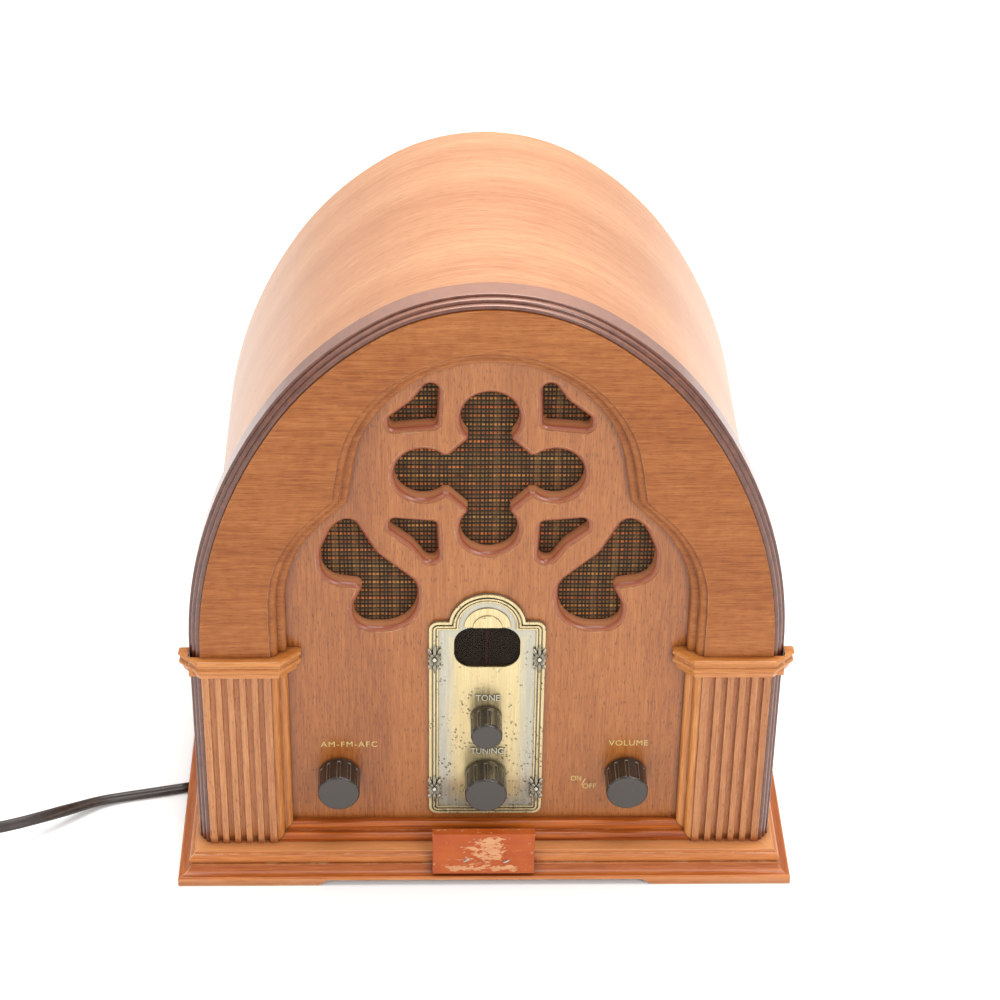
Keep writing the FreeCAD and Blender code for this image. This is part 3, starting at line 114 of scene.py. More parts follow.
def smooth_line(places, steps):
    """Points read from a NURBS spline whose control points are the places."""
    curve = bpy.data.curves.new("line", "CURVE")
    curve.dimensions = "3D"
    spline = curve.splines.new("NURBS")
    spline.points.add(len(places) - 1)
    for control, place in zip(spline.points, places):
        control.co = (*place, 1.0)
    spline.order_u = 3
    spline.use_endpoint_u = True
    curve.resolution_u = steps
    thing = bpy.data.objects.new("line", curve)
    bpy.context.scene.collection.objects.link(thing)
    bpy.context.view_layer.update()
    mesh = bpy.data.meshes.new_from_object(thing)
    points = [v.co.copy() for v in mesh.vertices]
    bpy.data.objects.remove(thing)
    bpy.data.curves.remove(curve)
    bpy.data.meshes.remove(mesh)
    return points


def direction(line, i):
    """Unit vector along the line at its point i."""
    return (line[min(i + 1, len(line) - 1)] - line[max(i - 1, 0)]).normalized()


def round_tube(places, radius, sides, steps):
    line = smooth_line(places, steps)
    rings = []
    for i, here in enumerate(line):
        along = direction(line, i)
        side = along.orthogonal().normalized()
        across = along.cross(side)
        ring = []
        for k in range(sides):
            turn = 2 * math.pi * k / sides
            ring.append(here + (side * math.cos(turn) + across * math.sin(turn)) * radius)
        rings.append(ring)
    return skin(rings)


# ---------------------------------------------------------------- materials

# Socket numbers of the Mix node in its colour form.
MIX_SHARE, MIX_FIRST, MIX_SECOND, MIX_RESULT = 0, 6, 7, 2


class Shader:
    """One material's node tree, with short calls for the nodes used here."""

    def __init__(self, name):
        self.material = bpy.data.materials.new(name)
        self.material.use_nodes = True
        self.tree = self.material.node_tree
        self.surface = self.tree.nodes["Principled BSDF"]
        self.place = self.tree.nodes.new("ShaderNodeTexCoord").outputs["Object"]

    def put(self, socket, value):
        """Links another node's output, or sets a number, vector or colour."""
        if isinstance(value, bpy.types.NodeSocket):
            self.tree.links.new(value, socket)
            return
        if socket.type == "RGBA" and len(value) == 3:
            value = (*value, 1)
        socket.default_value = value

    def node(self, kind, inputs=(), **settings):
        made = self.tree.nodes.new("ShaderNode" + kind)
        for key, value in settings.items():
            setattr(made, key, value)
        for key, value in dict(inputs).items():
            self.put(made.inputs[key], value)
        return made

    def stretched(self, scale, shift=(0, 0, 0)):
        inputs = {"Vector": self.place, "Scale": scale, "Location": shift}
        return self.node("Mapping", inputs).outputs["Vector"]

    def noise(self, scale, vector=None, detail=3.0, roughness=0.55, distortion=0.0):
        inputs = {"Vector": vector or self.place, "Scale": scale, "Detail": detail,
                  "Roughness": roughness, "Distortion": distortion}
        return self.node("TexNoise", inputs).outputs["Fac"]

    def between(self, value, low, high, out_low=0.0, out_high=1.0):
        inputs = {"Value": value, "From Min": low, "From Max": high,
                  "To Min": out_low, "To Max": out_high}
        return self.node("MapRange", inputs).outputs["Result"]

    def calc(self, operation, first, second=0.0, third=0.0):
        made = self.node("Math", {0: first, 1: second, 2: third}, operation=operation)
        return made.outputs[0]

    def plus(self, first, second):
        return self.calc("ADD", first, second)

    def minus(self, first, second):
        return self.calc("SUBTRACT", first, second)

    def times(self, first, second):
        return self.calc("MULTIPLY", first, second)

    def size_of(self, value):
        return self.calc("ABSOLUTE", value)

    def mix(self, share, first, second, blend="MIX"):
        made = self.node("Mix", data_type="RGBA", blend_type=blend)
        self.put(made.inputs[MIX_SHARE], share)
        self.put(made.inputs[MIX_FIRST], first)
        self.put(made.inputs[MIX_SECOND], second)
        return made.outputs[MIX_RESULT]

    def ramp(self, share, stops):
        made = self.node("ValToRGB", {"Fac": share})
        elements = made.color_ramp.elements
        while len(elements) < len(stops):
            elements.new(0.5)  # the place is set below
        for element, (place, colour) in zip(elements, stops):
            element.position = place
            element.color = (*colour, 1)
        return made.outputs["Color"]

    def split(self, axes):
        """The coordinates named by the letters of axes, such as "XZ"."""
        made = self.node("SeparateXYZ", {"Vector": self.place})
        return [made.outputs[axis] for axis in axes]

    def facing(self, axis):
        """The surface normal's share along one axis."""
        normal = self.node("NewGeometry").outputs["Normal"]
        return self.node("SeparateXYZ", {"Vector": normal}).outputs[axis]

    def openness(self, reach, samples):
        """Near 1 on open faces, lower in corners and grooves."""
        return self.node("AmbientOcclusion", {"Distance": reach}, samples=samples).outputs["AO"]

    def bump(self, height, distance, strength=1.0, normal=None):
        inputs = {"Height": height, "Distance": distance, "Strength": strength}
        if normal:
            inputs["Normal"] = normal
        return self.node("Bump", inputs).outputs["Normal"]

    def soft_edges(self, radius):
        return self.node("Bevel", {"Radius": radius}, samples=4).outputs["Normal"]

    def edge_mask(self, radius, low, high):
        """Near 1 along sharp edges, 0 on open faces."""
        rounded = self.soft_edges(radius)
        flat = self.node("NewGeometry").outputs["Normal"]
        alike = self.node("VectorMath", {0: rounded, 1: flat}, operation="DOT_PRODUCT")
        return self.between(self.minus(1.0, alike.outputs["Value"]), low, high)

    def painted_hollow_shade(self, colour, reach):
        """Painted shade: darkens corners and grooves."""
        share = self.between(self.openness(reach, 6), 0.86, 0.30, 0.0, 0.75)
        return self.mix(share, colour, self.mix(1.0, colour, (0.30, 0.16, 0.12), "MULTIPLY"))

    def finish(self, **values):
        """Sets the surface shader's inputs, and gives the material."""
        for key, value in values.items():
            self.put(self.surface.inputs[key.replace("_", " ")], value)
        return self.material


# How much a pattern is drawn out along the grain, by the grain's axis.
GRAIN = {"x": (0.045, 1, 1), "y": (1, 0.045, 1), "z": (1, 1, 0.045)}

# The mitres at the sill's ends, in metres: how far from the middle and how high
# their outer ends are, and how steeply they rise inwards.
MITRE_OUT = 0.0933
MITRE_FOOT = 0.0139
MITRE_SLOPE = 8.1 / 7.0

# The height of the arch's middle and its radius in metres, for veneer whose
# grain runs round it.
ARCH_MIDDLE = 0.125
ARCH_RADIUS = 0.13

# Reach of the dark line where cast metal meets the plate, in metres.
CAST_REACH = 0.0022


def routed_edge(s, colour):
    """Openings cut through the panel: a red-brown rounded edge with a rough
    pale rim, and paler raw wood on the wall behind it."""
    facing = s.facing("Y")
    rough = s.noise(1400.0, detail=3.0, roughness=0.7)
    turned = s.between(facing, -0.985, -0.93)
    wall = s.between(facing, -0.30, -0.12)
    band = s.mix(rough, (0.20, 0.040, 0.012), (0.34, 0.085, 0.030))
    raw = s.mix(rough, (0.44, 0.14, 0.05), (0.70, 0.34, 0.17))
    colour = s.mix(turned, colour, band)
    return s.mix(wall, colour, raw)


def sill_joint(s, colour):
    """Darker redder sill below its mitres with the upright steps."""
    x, z = s.split("XZ")
    inset = s.minus(MITRE_OUT, s.size_of(x))
    over = s.minus(s.minus(z, MITRE_FOOT), s.times(inset, MITRE_SLOPE))
    below = s.between(over, 0.0001, -0.0001)
    near = s.between(s.size_of(over), 0.0004, 0.0001)
    streaks = s.between(s.noise(700.0, s.stretched((0.03, 1, 1)), 4.0, 0.65), 0.32, 0.68)
    red = s.mix(streaks, (0.20, 0.030, 0.002), (0.52, 0.130, 0.012))
    return s.mix(s.times(near, 0.9), s.mix(below, colour, red), (0.035, 0.012, 0.006))


def plinth_wear_and_painted_light(s, colour):
    """Painted light on the upward-facing shelf, worn paler foot, painted shade on the
    slope between them.  The heights are those of the plinth's own steps, in metres."""
    (z,) = s.split("Z")
    facing_up = s.facing("Z")
    upright = s.between(s.size_of(facing_up), 0.5, 0.2)
    # Painted shade: the slope between foot and shelf is darkened.
    shaded_slope = s.times(s.between(z, 0.0042, 0.0046), s.between(z, 0.0082, 0.0074))
    colour = s.mix(shaded_slope, colour, s.mix(1.0, colour, (0.80, 0.62, 0.40), "MULTIPLY"))
    # Painted light: the upward-facing shelf is made paler.
    lit_shelf = s.times(s.between(z, 0.0131, 0.0136), s.between(facing_up, 0.80, 0.95))
    colour = s.mix(s.times(lit_shelf, 0.4), colour, (0.80, 0.40, 0.17))
    low = s.between(z, 0.0045, 0.0040)
    rub = s.between(s.noise(240.0, s.stretched((0.2, 0.2, 1)), 4.0, 0.65), 0.35, 0.65, 0.15, 0.65)
    rim = s.times(s.between(z, 0.0009, 0.0003), 0.6)
    colour = s.mix(s.times(s.times(upright, low), rub), colour, (0.60, 0.27, 0.12))
    return s.mix(s.times(rim, upright), colour, (0.80, 0.52, 0.28))


def lit_groove_floors_and_reed_ends(s, colour):
    """Painted light paling the floors of the grooves between reeds, and dark red reed ends."""
    y, z = s.split("YZ")
    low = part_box("pilaster_left")[0]
    # Painted light: the groove floors are made paler.
    floor = s.between(y, low.y + 0.0007, low.y + 0.0013)
    colour = s.mix(floor, colour, s.mix(1.0, colour, (1.22, 1.22, 1.18), "MULTIPLY"))
    ragged = s.calc("MULTIPLY_ADD", s.noise(600.0), 0.0016, z)
    foot = s.between(ragged, low.z + 0.0042, low.z + 0.0022)
    return s.mix(s.times(foot, 0.75), colour, (0.24, 0.045, 0.008))


def painted_crown_sheen(s, colour):
    """Painted sheen: veneer paler where the arch turns down at both sides."""
    x, z = s.split("XZ")
    outward = s.between(s.size_of(x), 0.045, 0.122, 0.0, 0.55)
    above = s.between(z, 0.085, 0.165, 0.25, 1.0)
    return s.mix(s.times(outward, above), colour, (0.80, 0.52, 0.32))


def wood(name, tones, grain, seed, flecks=0.5, wear=None, wear_share=0.5, coat=0.1, ripple=0.0,
         extra=None, gloss=0.35, hollow=0.0035):
    """Lacquered wood: dark, middle and light tones, drawn out along the grain,
    with pores, painted shade in the hollows, and edges worn to a paler tone."""
    s = Shader(name)
    if grain == "round":
        x, y, z = s.split("XYZ")
        turn = s.calc("ARCTAN2", x, s.minus(z, ARCH_MIDDLE))
        rolled = s.node("CombineXYZ", {"X": s.times(turn, ARCH_RADIUS), "Y": y, "Z": 0.0})
        s.place = rolled.outputs["Vector"]
        grain = "x"
    dark, middle, light = tones
    shift = (seed * 0.37, seed * 0.71, seed * 0.53)
    along = s.stretched(GRAIN[grain], shift)
    broad = s.noise(38.0, along, 3.0, 0.5, 0.6)
    fine = s.noise(620.0, along, 4.0, 0.65, 0.3)
    hair = s.noise(1900.0, along, 2.0, 0.6)
    value = s.calc("MULTIPLY_ADD", broad, 0.5, s.times(fine, 0.5))
    value = s.calc("MULTIPLY_ADD", s.minus(hair, 0.5), 0.6, value)
    if ripple:
        waves = s.noise(240.0, s.stretched((1, 1, 1), shift), 2.0, 0.5)
        value = s.calc("MULTIPLY_ADD", s.minus(waves, 0.5), ripple, value)
    colour = s.ramp(value, [(0.28, dark), (0.5, middle), (0.74, light)])
    pore_scale = tuple(3.0 * part if part < 1 else 1.0 for part in GRAIN[grain])
    pores = s.noise(2000.0, s.stretched(pore_scale, shift), 1.0, 0.5)
    pore_mask = s.between(pores, 0.60, 0.70)
    pore_dark = tuple(0.32 * part for part in dark)
    colour = s.mix(s.times(pore_mask, flecks), colour, pore_dark)
    if extra:
        colour = extra(s, colour)
    # Painted shade in corners and grooves, reaching as far as hollow.
    colour = s.painted_hollow_shade(colour, hollow)
    if wear:
        patches = s.between(s.noise(150.0, s.stretched((1, 1, 1), shift), 4.0, 0.6), 0.46, 0.62)
        edges = s.times(s.edge_mask(0.0006, 0.04, 0.2), patches)
        colour = s.mix(s.times(edges, wear_share), colour, wear)
    height = s.calc("MULTIPLY_ADD", pore_mask, -0.6, s.times(hair, 0.4))
    normal = s.bump(height, 0.00008, 0.5, s.soft_edges(0.0003))
    rough = s.between(fine, 0.3, 0.7, 0.31, 0.43)
    return s.finish(Base_Color=colour, Roughness=rough, Normal=normal, Coat_Weight=coat,
                    Coat_Roughness=0.22, Specular_IOR_Level=gloss)


def dark_lacquer():
    s = Shader("dark_lacquer")
    mottled = s.noise(260.0, s.stretched((1, 1, 1)), 4.0, 0.6)
    colour = s.ramp(mottled, [(0.3, (0.078, 0.022, 0.010)), (0.7, (0.165, 0.056, 0.030))])
    patches = s.between(s.noise(420.0, detail=3.0, roughness=0.6), 0.55, 0.66)
    edges = s.times(s.edge_mask(0.0005, 0.03, 0.16), patches)
    colour = s.mix(s.times(edges, 0.55), colour, (0.42, 0.21, 0.12))
    # Painted reflection of the overhead light: upward-facing faces turn greyish mauve.
    facing_up = s.facing("Z")
    colour = s.mix(s.between(facing_up, 0.55, 0.97, 0.0, 0.5), colour, (0.50, 0.32, 0.25))
    normal = s.bump(mottled, 0.00005, 0.6, s.soft_edges(0.0004))
    # Painted shade in corners and grooves.
    return s.finish(Base_Color=s.painted_hollow_shade(colour, 0.003), Roughness=0.3, Normal=normal,
                    Coat_Weight=0.75, Coat_Roughness=0.12, Coat_IOR=1.5,
                    Coat_Tint=(1.0, 0.86, 0.80))


def antique_plate():
    """Brass-plated sheet: golden field, blue-grey near the rim, brown in the
    hollows, dark pits that crowd towards the bottom."""
    s = Shader("antique_plate")
    x, y, z = s.split("XYZ")
    brushed = s.noise(1300.0, s.stretched((1, 1, 0.03)), 3.0, 0.6)
    clouds = s.noise(55.0, s.stretched((1, 1, 0.45), (0.31, 0.2, 0.12)), 2.0, 0.5)
    side = s.between(s.size_of(x), 0.0115, 0.0190)
    low = s.between(z, 0.040, 0.029)
    high = s.between(z, 0.121, 0.126)
    rim = s.calc("MAXIMUM", s.calc("MAXIMUM", side, low), high)
    share = s.between(s.plus(rim, s.minus(clouds, 0.5)), 0.15, 0.85)
    gold = s.mix(brushed, (0.47, 0.36, 0.17), (0.77, 0.64, 0.36))
    grey = s.mix(brushed, (0.33, 0.31, 0.24), (0.57, 0.54, 0.43))
    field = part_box("escutcheon")[1].y - 0.001
    raised = s.between(y, field - 0.0001, field - 0.0005)
    bright = s.mix(brushed, (0.40, 0.30, 0.13), (0.86, 0.72, 0.42))
    colour = s.mix(raised, s.mix(share, gold, grey), bright)
    hollow = s.openness(CAST_REACH, 8)
    colour = s.mix(s.between(hollow, 0.90, 0.35, 0.0, 0.85), colour, (0.11, 0.078, 0.040))
    cells = s.node("TexVoronoi", {"Vector": s.stretched((1, 0.2, 1)), "Scale": 560.0}).outputs
    size = s.between(s.noise(2100.0), 0.3, 0.7, 0.10, 0.36)
    crowd = s.plus(s.between(z, 0.095, 0.028, 0.0, 0.20), s.noise(110.0, s.stretched((1, 1, 0.6))))
    here = s.between(crowd, 0.50, 0.60)
    pits = s.times(s.between(s.minus(cells["Distance"], size), 0.06, -0.02), here)
    colour = s.mix(s.times(pits, 0.85), colour, (0.045, 0.03, 0.018))
    metal = s.times(s.between(pits, 0.0, 1.0, 1.0, 0.15), s.between(z, 0.034, 0.066, 0.28, 0.7))
    rough = s.plus(s.between(brushed, 0.3, 0.7, 0.19, 0.30), s.times(pits, 0.3))
    height = s.minus(s.times(brushed, 0.15), pits)
    normal = s.bump(height, 0.00008, 0.5, s.soft_edges(0.0003))
    return s.finish(Base_Color=colour, Metallic=metal, Roughness=rough, Normal=normal)


def cast_metal():
    """Raised letters and leaves: rubbed bright on top, brown where they meet
    the plate."""
    s = Shader("cast_metal")
    rubbed = s.noise(1700.0, detail=3.0, roughness=0.6)
    colour = s.mix(rubbed, (0.50, 0.44, 0.30), (0.84, 0.80, 0.66))
    open_share = s.openness(CAST_REACH, 8)
    colour = s.mix(s.between(open_share, 0.88, 0.52, 0.0, 0.95), colour, (0.050, 0.034, 0.016))
    normal = s.bump(rubbed, 0.00004, 0.5)
    return s.finish(Base_Color=colour, Metallic=0.45, Roughness=0.38, Normal=normal)


def knob_plastic():
    """Dark brown moulded plastic, glossy on the sides, dull on the flat end, with painted
    highlights along the ridge edges.
    """
    s = Shader("knob_plastic")
    facing = s.facing("Y")
    end = s.between(facing, -0.9, -0.985)
    speck = s.noise(2600.0, detail=2.0, roughness=0.6)
    dust = s.between(s.noise(900.0, s.stretched((1, 1, 1), (3, 1, 2)), 3.0, 0.7), 0.68, 0.76)
    base = s.mix(end, (0.026, 0.018, 0.013), (0.050, 0.042, 0.035))
    colour = s.mix(s.times(dust, 0.25), base, (0.35, 0.30, 0.25))
    # Painted highlights: light lines along the ridges' edges.
    ridge_highlights = s.edge_mask(0.0005, 0.03, 0.18)
    colour = s.mix(s.times(ridge_highlights, 0.7), colour, (0.50, 0.44, 0.34))
    rough = s.between(end, 0.0, 1.0, 0.26, 0.6)
    normal = s.bump(speck, 0.00003, 0.5, s.soft_edges(0.0004))
    return s.finish(Base_Color=colour, Roughness=rough, Normal=normal, Coat_Weight=0.15,
                    Coat_Roughness=0.1)


def vinyl():
    s = Shader("lead_vinyl")
    smear = s.noise(300.0, detail=3.0, roughness=0.6)
    colour = s.ramp(smear, [(0.3, (0.017, 0.010, 0.008)), (0.7, (0.036, 0.023, 0.018))])
    rough = s.between(smear, 0.3, 0.7, 0.3, 0.45)
    normal = s.bump(s.noise(2400.0), 0.00003, 0.4)
    return s.finish(Base_Color=colour, Roughness=rough, Normal=normal)


def worn_label():
    """Red-brown paint with torn glue patches in the middle and bare edges."""
    s = Shader("worn_label")
    x, z = s.split("XZ")
    grain = s.noise(500.0, s.stretched((0.08, 1, 1)), 4.0, 0.6)
    blotch = s.noise(90.0, detail=3.0, roughness=0.6)
    paint = s.mix(blotch, (0.34, 0.045, 0.004), (0.56, 0.130, 0.018))
    paint = s.mix(s.times(grain, 0.45), paint, (0.24, 0.026, 0.004))
    low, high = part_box("label_block")
    along = s.between(x, low.x, high.x)
    upward = s.between(z, low.z, high.z)

    def patch(left, right, bottom, top):
        inside = s.times(s.between(along, left - 0.05, left + 0.05),
                         s.between(along, right + 0.05, right - 0.05))
        level = s.times(s.between(upward, bottom - 0.05, bottom + 0.05),
                        s.between(upward, top + 0.05, top - 0.05))
        return s.times(inside, level)

    glued = s.calc("MAXIMUM", patch(0.44, 0.70, 0.34, 0.95), patch(0.14, 0.82, 0.08, 0.22))
    glued = s.calc("MAXIMUM", glued, s.times(patch(0.30, 0.60, 0.15, 0.80), 0.6))
    torn = s.noise(330.0, s.stretched((0.8, 1, 1.5), (0.6, 0.2, 0.9)), 5.0, 0.68, 0.6)
    glue = s.between(s.calc("MULTIPLY_ADD", glued, 0.20, torn), 0.62, 0.66)
    residue = s.mix(grain, (0.52, 0.22, 0.09), (0.78, 0.44, 0.22))
    colour = s.mix(s.times(glue, 0.85), paint, residue)
    chips = s.between(s.noise(320.0, detail=4.0, roughness=0.7), 0.42, 0.56)
    edges = s.times(s.edge_mask(0.0007, 0.03, 0.2), chips)
    colour = s.mix(s.times(edges, 0.85), colour, (0.75, 0.43, 0.20))
    height = s.calc("MULTIPLY_ADD", glue, -0.6, s.times(grain, 0.3))
    normal = s.bump(height, 0.00015, 0.7, s.soft_edges(0.0005))
    rough = s.between(glue, 0.0, 1.0, 0.3, 0.55)
    return s.finish(Base_Color=colour, Roughness=rough, Normal=normal, Coat_Weight=0.1,
                    Coat_Roughness=0.2, Specular_IOR_Level=0.3)


def gilt_print():
    s = Shader("gilt_print")
    worn = s.between(s.noise(1500.0, detail=3.0, roughness=0.6), 0.35, 0.6)
    colour = s.mix(worn, (0.46, 0.26, 0.08), (0.62, 0.54, 0.20))
    return s.finish(Base_Color=colour, Roughness=0.5)


def plain(name, first, second, scale, roughness, metallic=0.0, grain=(1, 1, 1),
          height=0.00003, coat=0.0):
    """Two close tones mottled by noise, for the parts inside and at the back."""
    s = Shader(name)
    mottled = s.noise(scale, s.stretched(grain), 4.0, 0.6)
    colour = s.mix(mottled, first, second)
    rough = s.between(mottled, 0.3, 0.7, roughness - 0.06, roughness + 0.06)
    normal = s.bump(mottled, height, 0.5, s.soft_edges(0.0002))
    return s.finish(Base_Color=colour, Roughness=rough, Metallic=metallic, Normal=normal,
                    Coat_Weight=coat)


def clear_sheet():
    s = Shader("clear_sheet")
    smudge = s.noise(160.0, detail=3.0, roughness=0.6)
    rough = s.between(smudge, 0.4, 0.7, 0.22, 0.32)
    return s.finish(Base_Color=(0.017, 0.010, 0.005), Roughness=rough, Specular_IOR_Level=0.12,
                    Alpha=0.55)


# Repeats of the grille cloth's pattern, in metres, and where each bright warp
# group starts and ends within a repeat.
WEAVE_ACROSS = 0.0085
WEAVE_UP = 0.0042
WARP = ((0.00, 0.15), (0.20, 0.36), (0.41, 0.54), (0.61, 0.77), (0.83, 0.94))


def weave_cloth():
    """Dark basket weave with orange, gold and tan slubs in repeating groups."""
    s = Shader("grille_weave")
    x, z = s.split("XZ")
    wobble = s.times(s.minus(s.noise(30.0), 0.5), 0.12)
    across = s.plus(s.calc("DIVIDE", x, WEAVE_ACROSS), wobble)
    up = s.plus(s.calc("DIVIDE", z, WEAVE_UP), wobble)
    column = s.calc("FLOOR", across)
    row = s.calc("FLOOR", up)
    u = s.calc("FRACT", across)
    v = s.calc("FRACT", up)

    def band(value, low, high, soft=0.03):
        rise = s.between(value, low - soft, low + soft)
        fall = s.between(value, high + soft, high - soft)
        return s.times(rise, fall)

    def chance(socket, value, dimensions):
        """One random value for each thread or each place."""
        made = s.node("TexWhiteNoise", {socket: value}, noise_dimensions=dimensions)
        return made.outputs["Value"]

    def between_threads(value, count):
        """How far from the middle of its thread each point is, 0 to 0.5."""
        return s.size_of(s.minus(s.calc("FRACT", s.times(value, count)), 0.5))

    slubs = 0.0
    for low, high in WARP:
        slubs = s.calc("MAXIMUM", slubs, band(u, low + 0.015, high - 0.015))
    bright_row = band(v, 0.08, 0.34, 0.05)
    faint_row = band(v, 0.56, 0.82, 0.05)
    cell = s.node("CombineXYZ", {"X": s.times(column, 0.37), "Y": s.times(row, 1.7), "Z": 0.5})
    pick = chance("Vector", cell.outputs["Vector"], "3D")
    row_only = chance("W", row, "1D")
    column_only = chance("W", column, "1D")
    hue = s.ramp(s.calc("MULTIPLY_ADD", row_only, 0.8, s.times(pick, 0.2)),
                 [(0.0, (0.80, 0.17, 0.045)), (0.45, (0.84, 0.25, 0.06)),
                  (0.70, (0.84, 0.40, 0.10)), (1.0, (0.52, 0.30, 0.12))])
    patchy = s.between(s.noise(420.0, s.stretched((1, 1, 0.35)), 3.0, 0.7), 0.36, 0.62, 0.25, 1.0)
    strength = s.times(s.between(pick, 0.0, 1.0, 0.55, 1.0), patchy)
    fibres = s.noise(3800.0, s.stretched((1, 1, 0.5)), 2.0, 0.6)
    ground = s.mix(fibres, (0.012, 0.009, 0.006), (0.085, 0.056, 0.034))
    tan_stripe = s.times(band(u, 0.22, 0.49), s.between(column_only, 0.2, 0.9, 0.2, 0.8))
    colour = s.mix(tan_stripe, ground, (0.150, 0.088, 0.040))
    colour = s.mix(s.times(s.times(slubs, faint_row), 0.6), colour, (0.34, 0.165, 0.065))
    share = s.times(s.times(slubs, bright_row), strength)
    colour = s.mix(share, colour, hue)
    gaps = s.times(band(v, 0.40, 0.56, 0.05), 0.6)
    colour = s.mix(gaps, colour, (0.010, 0.009, 0.008))
    gap = s.calc("MAXIMUM", s.between(between_threads(across, 13.0), 0.30, 0.48),
                 s.between(between_threads(up, 4.0), 0.36, 0.5))
    colour = s.mix(s.times(gap, 0.65), colour, (0.010, 0.008, 0.006))
    normal = s.bump(s.calc("MULTIPLY_ADD", gap, -0.8, fibres), 0.00025, 0.7)
    return s.finish(Base_Color=colour, Roughness=0.9, Normal=normal, Specular_IOR_Level=0.15)


def give(node, material):
    """Puts one material on a CAD node."""
    mesh = nodes[node].data
    mesh.materials.clear()
    mesh.materials.append(material)


# ---------------------------------------------------------------- the lead

# Millimetres.  Places are X, setback and Z of the middle of the lead.
LEAD_WIDTH = 5.4
LEAD_THICKNESS = 2.8
LEAD_EXIT = (-136.5, 67.4, 1.5)
LEAD_ROUTE = [
    LEAD_EXIT, (-151.0, 63.9, 1.5), (-166.0, 60.6, 1.5), (-178.5, 56.2, 2.6), (-189.2, 46.8, 6.0),
    (-200.5, 37.4, 9.5), (-213.0, 30.2, 11.0), (-226.5, 26.4, 10.6), (-240.0, 23.6, 8.6),
    (-253.0, 21.6, 5.6), (-265.5, 17.8, 2.6), (-277.3, 13.4, 1.5),
]
PLUG_ROUTE = [(-317.0, 37.0, 9.6), (-322.2, 49.0, 8.4), (-326.2, 60.2, 5.9)]
COIL_CENTRE = (-284.6, 49.3)
COIL_RADIUS = 31.1
COIL_START, COIL_END = -78.5, -159.2  # degrees
# How far outside the coil's middle radius each turn lies, and its height.
TURN_OFFSETS = (5.5, 0.0, -5.5, -5.5, 0.0, 5.5, 5.5, 0.0, 1.5)
TURN_LEVELS = (1.5, 1.5, 1.5, 4.4, 4.4, 4.4, 7.3, 7.3, 10.1)
TURN_POINTS = 16
STEP_OVER = 0.72  # share of a turn after which it moves over to the next one

# The stretch, measured from the exit, where the flat lead stands on its side.
ROLL = math.radians(62)
ROLL_RISE = (38, 45)  # where it starts, and how long it takes
ROLL_FALL = (150, 35)  # where it is flat again, and how long it takes


def eased(share):
    """0 to 1 with a gentle start and end."""
    share = min(1.0, max(0.0, share))
    return share * share * (3 - 2 * share)


def coil_points():
    """The put-away turns, clockwise, in three layers; the last turn crosses
    over to the plug."""
    start = math.radians(COIL_START)
    end = math.radians(COIL_END)
    whole_turns = len(TURN_OFFSETS) - 1
    turns = whole_turns + (start - end) / (2 * math.pi)
    count = int(turns * TURN_POINTS)
    wander = random.Random(7)
    drift = [wander.uniform(-0.25, 0.25) for _ in range(count)]
    points = []
    for i in range(2, count):  # the route comes in over the first two
        turned = turns * i / count
        whole = int(turned)
        part = turned - whole
        move = eased((part - STEP_OVER) / (1 - STEP_OVER))
        after = min(whole + 1, whole_turns)
        offset = TURN_OFFSETS[whole] + (TURN_OFFSETS[after] - TURN_OFFSETS[whole]) * move
        level = TURN_LEVELS[whole] + (TURN_LEVELS[after] - TURN_LEVELS[whole]) * move
        angle = start - 2 * math.pi * turned
        radius = COIL_RADIUS + offset + drift[i]
        points.append((COIL_CENTRE[0] + radius * math.cos(angle),
                       COIL_CENTRE[1] + radius * math.sin(angle), level))
    return points


def roll_at(distance):
    """How far the flat lead is rolled on its side, this far from its exit."""
    rise = (distance - ROLL_RISE[0]) / ROLL_RISE[1]
    fall = (ROLL_FALL[0] - distance) / ROLL_FALL[1]
    return ROLL * eased(min(rise, fall))


def lead_section():
    """Two round cores side by side; fine ribs mark one of them."""
    core = LEAD_THICKNESS / 2
    apart = LEAD_WIDTH / 2 - core
    steps = 14
    waist = 132  # degrees from a core's outer side to the groove between them
    section = []
    for side in (1, -1):
        for step in range(steps + 1):
            turn = math.radians(-waist + 2 * waist * step / steps)
            ribbed = 0.06 if side > 0 and step % 2 and 2 < step < 12 else 0.0
            section.append((side * (apart + (core - ribbed) * math.cos(turn)),
                            side * (core - ribbed) * math.sin(turn)))
    return section


def make_lead(material):
    places = LEAD_ROUTE + coil_points() + PLUG_ROUTE
    line = smooth_line([spot(*place) for place in places], 6)
    section = lead_section()
    rings = []
    travelled = 0.0
    for i, here in enumerate(line):
        if i:
            travelled += (here - line[i - 1]).length / MM
        along = direction(line, i)
        level = along.cross(Vector((0, 0, 1))).normalized()
        above = level.cross(along)
        roll = roll_at(travelled)
        wide = level * math.cos(roll) + above * math.sin(roll)
        thick = above * math.cos(roll) - level * math.sin(roll)
        rings.append([here + (wide * a + thick * b) * MM for a, b in section])
    lead = mesh_object("mains_lead", *skin(rings))
    lead.data.materials.append(material)
    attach(lead, "cabinet")
    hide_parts("power_cord", "cord_coil")


# ---------------------------------------------------------------- cloth

# The grille cloth in metres: its edges, the grid it is made on, how far the
# weave lies behind its front, and how far the slubs and the weft stand out.
CLOTH_LEFT, CLOTH_RIGHT = -0.079, 0.079
CLOTH_BOTTOM, CLOTH_TOP = 0.1225, 0.2665
CLOTH_STEP = 0.00048
WEAVE_DEPTH = 0.00035
SLUB_RELIEF = 0.00016
WEFT_RELIEF = 0.00008
# The arch that it is trimmed to, half-width, foot and height, and the space
# that the dial takes from it, half-width and top.
CLOTH_ARCH = (0.095, 0.1195, 0.155)
CLOTH_DIAL = (0.0252, 0.1348)


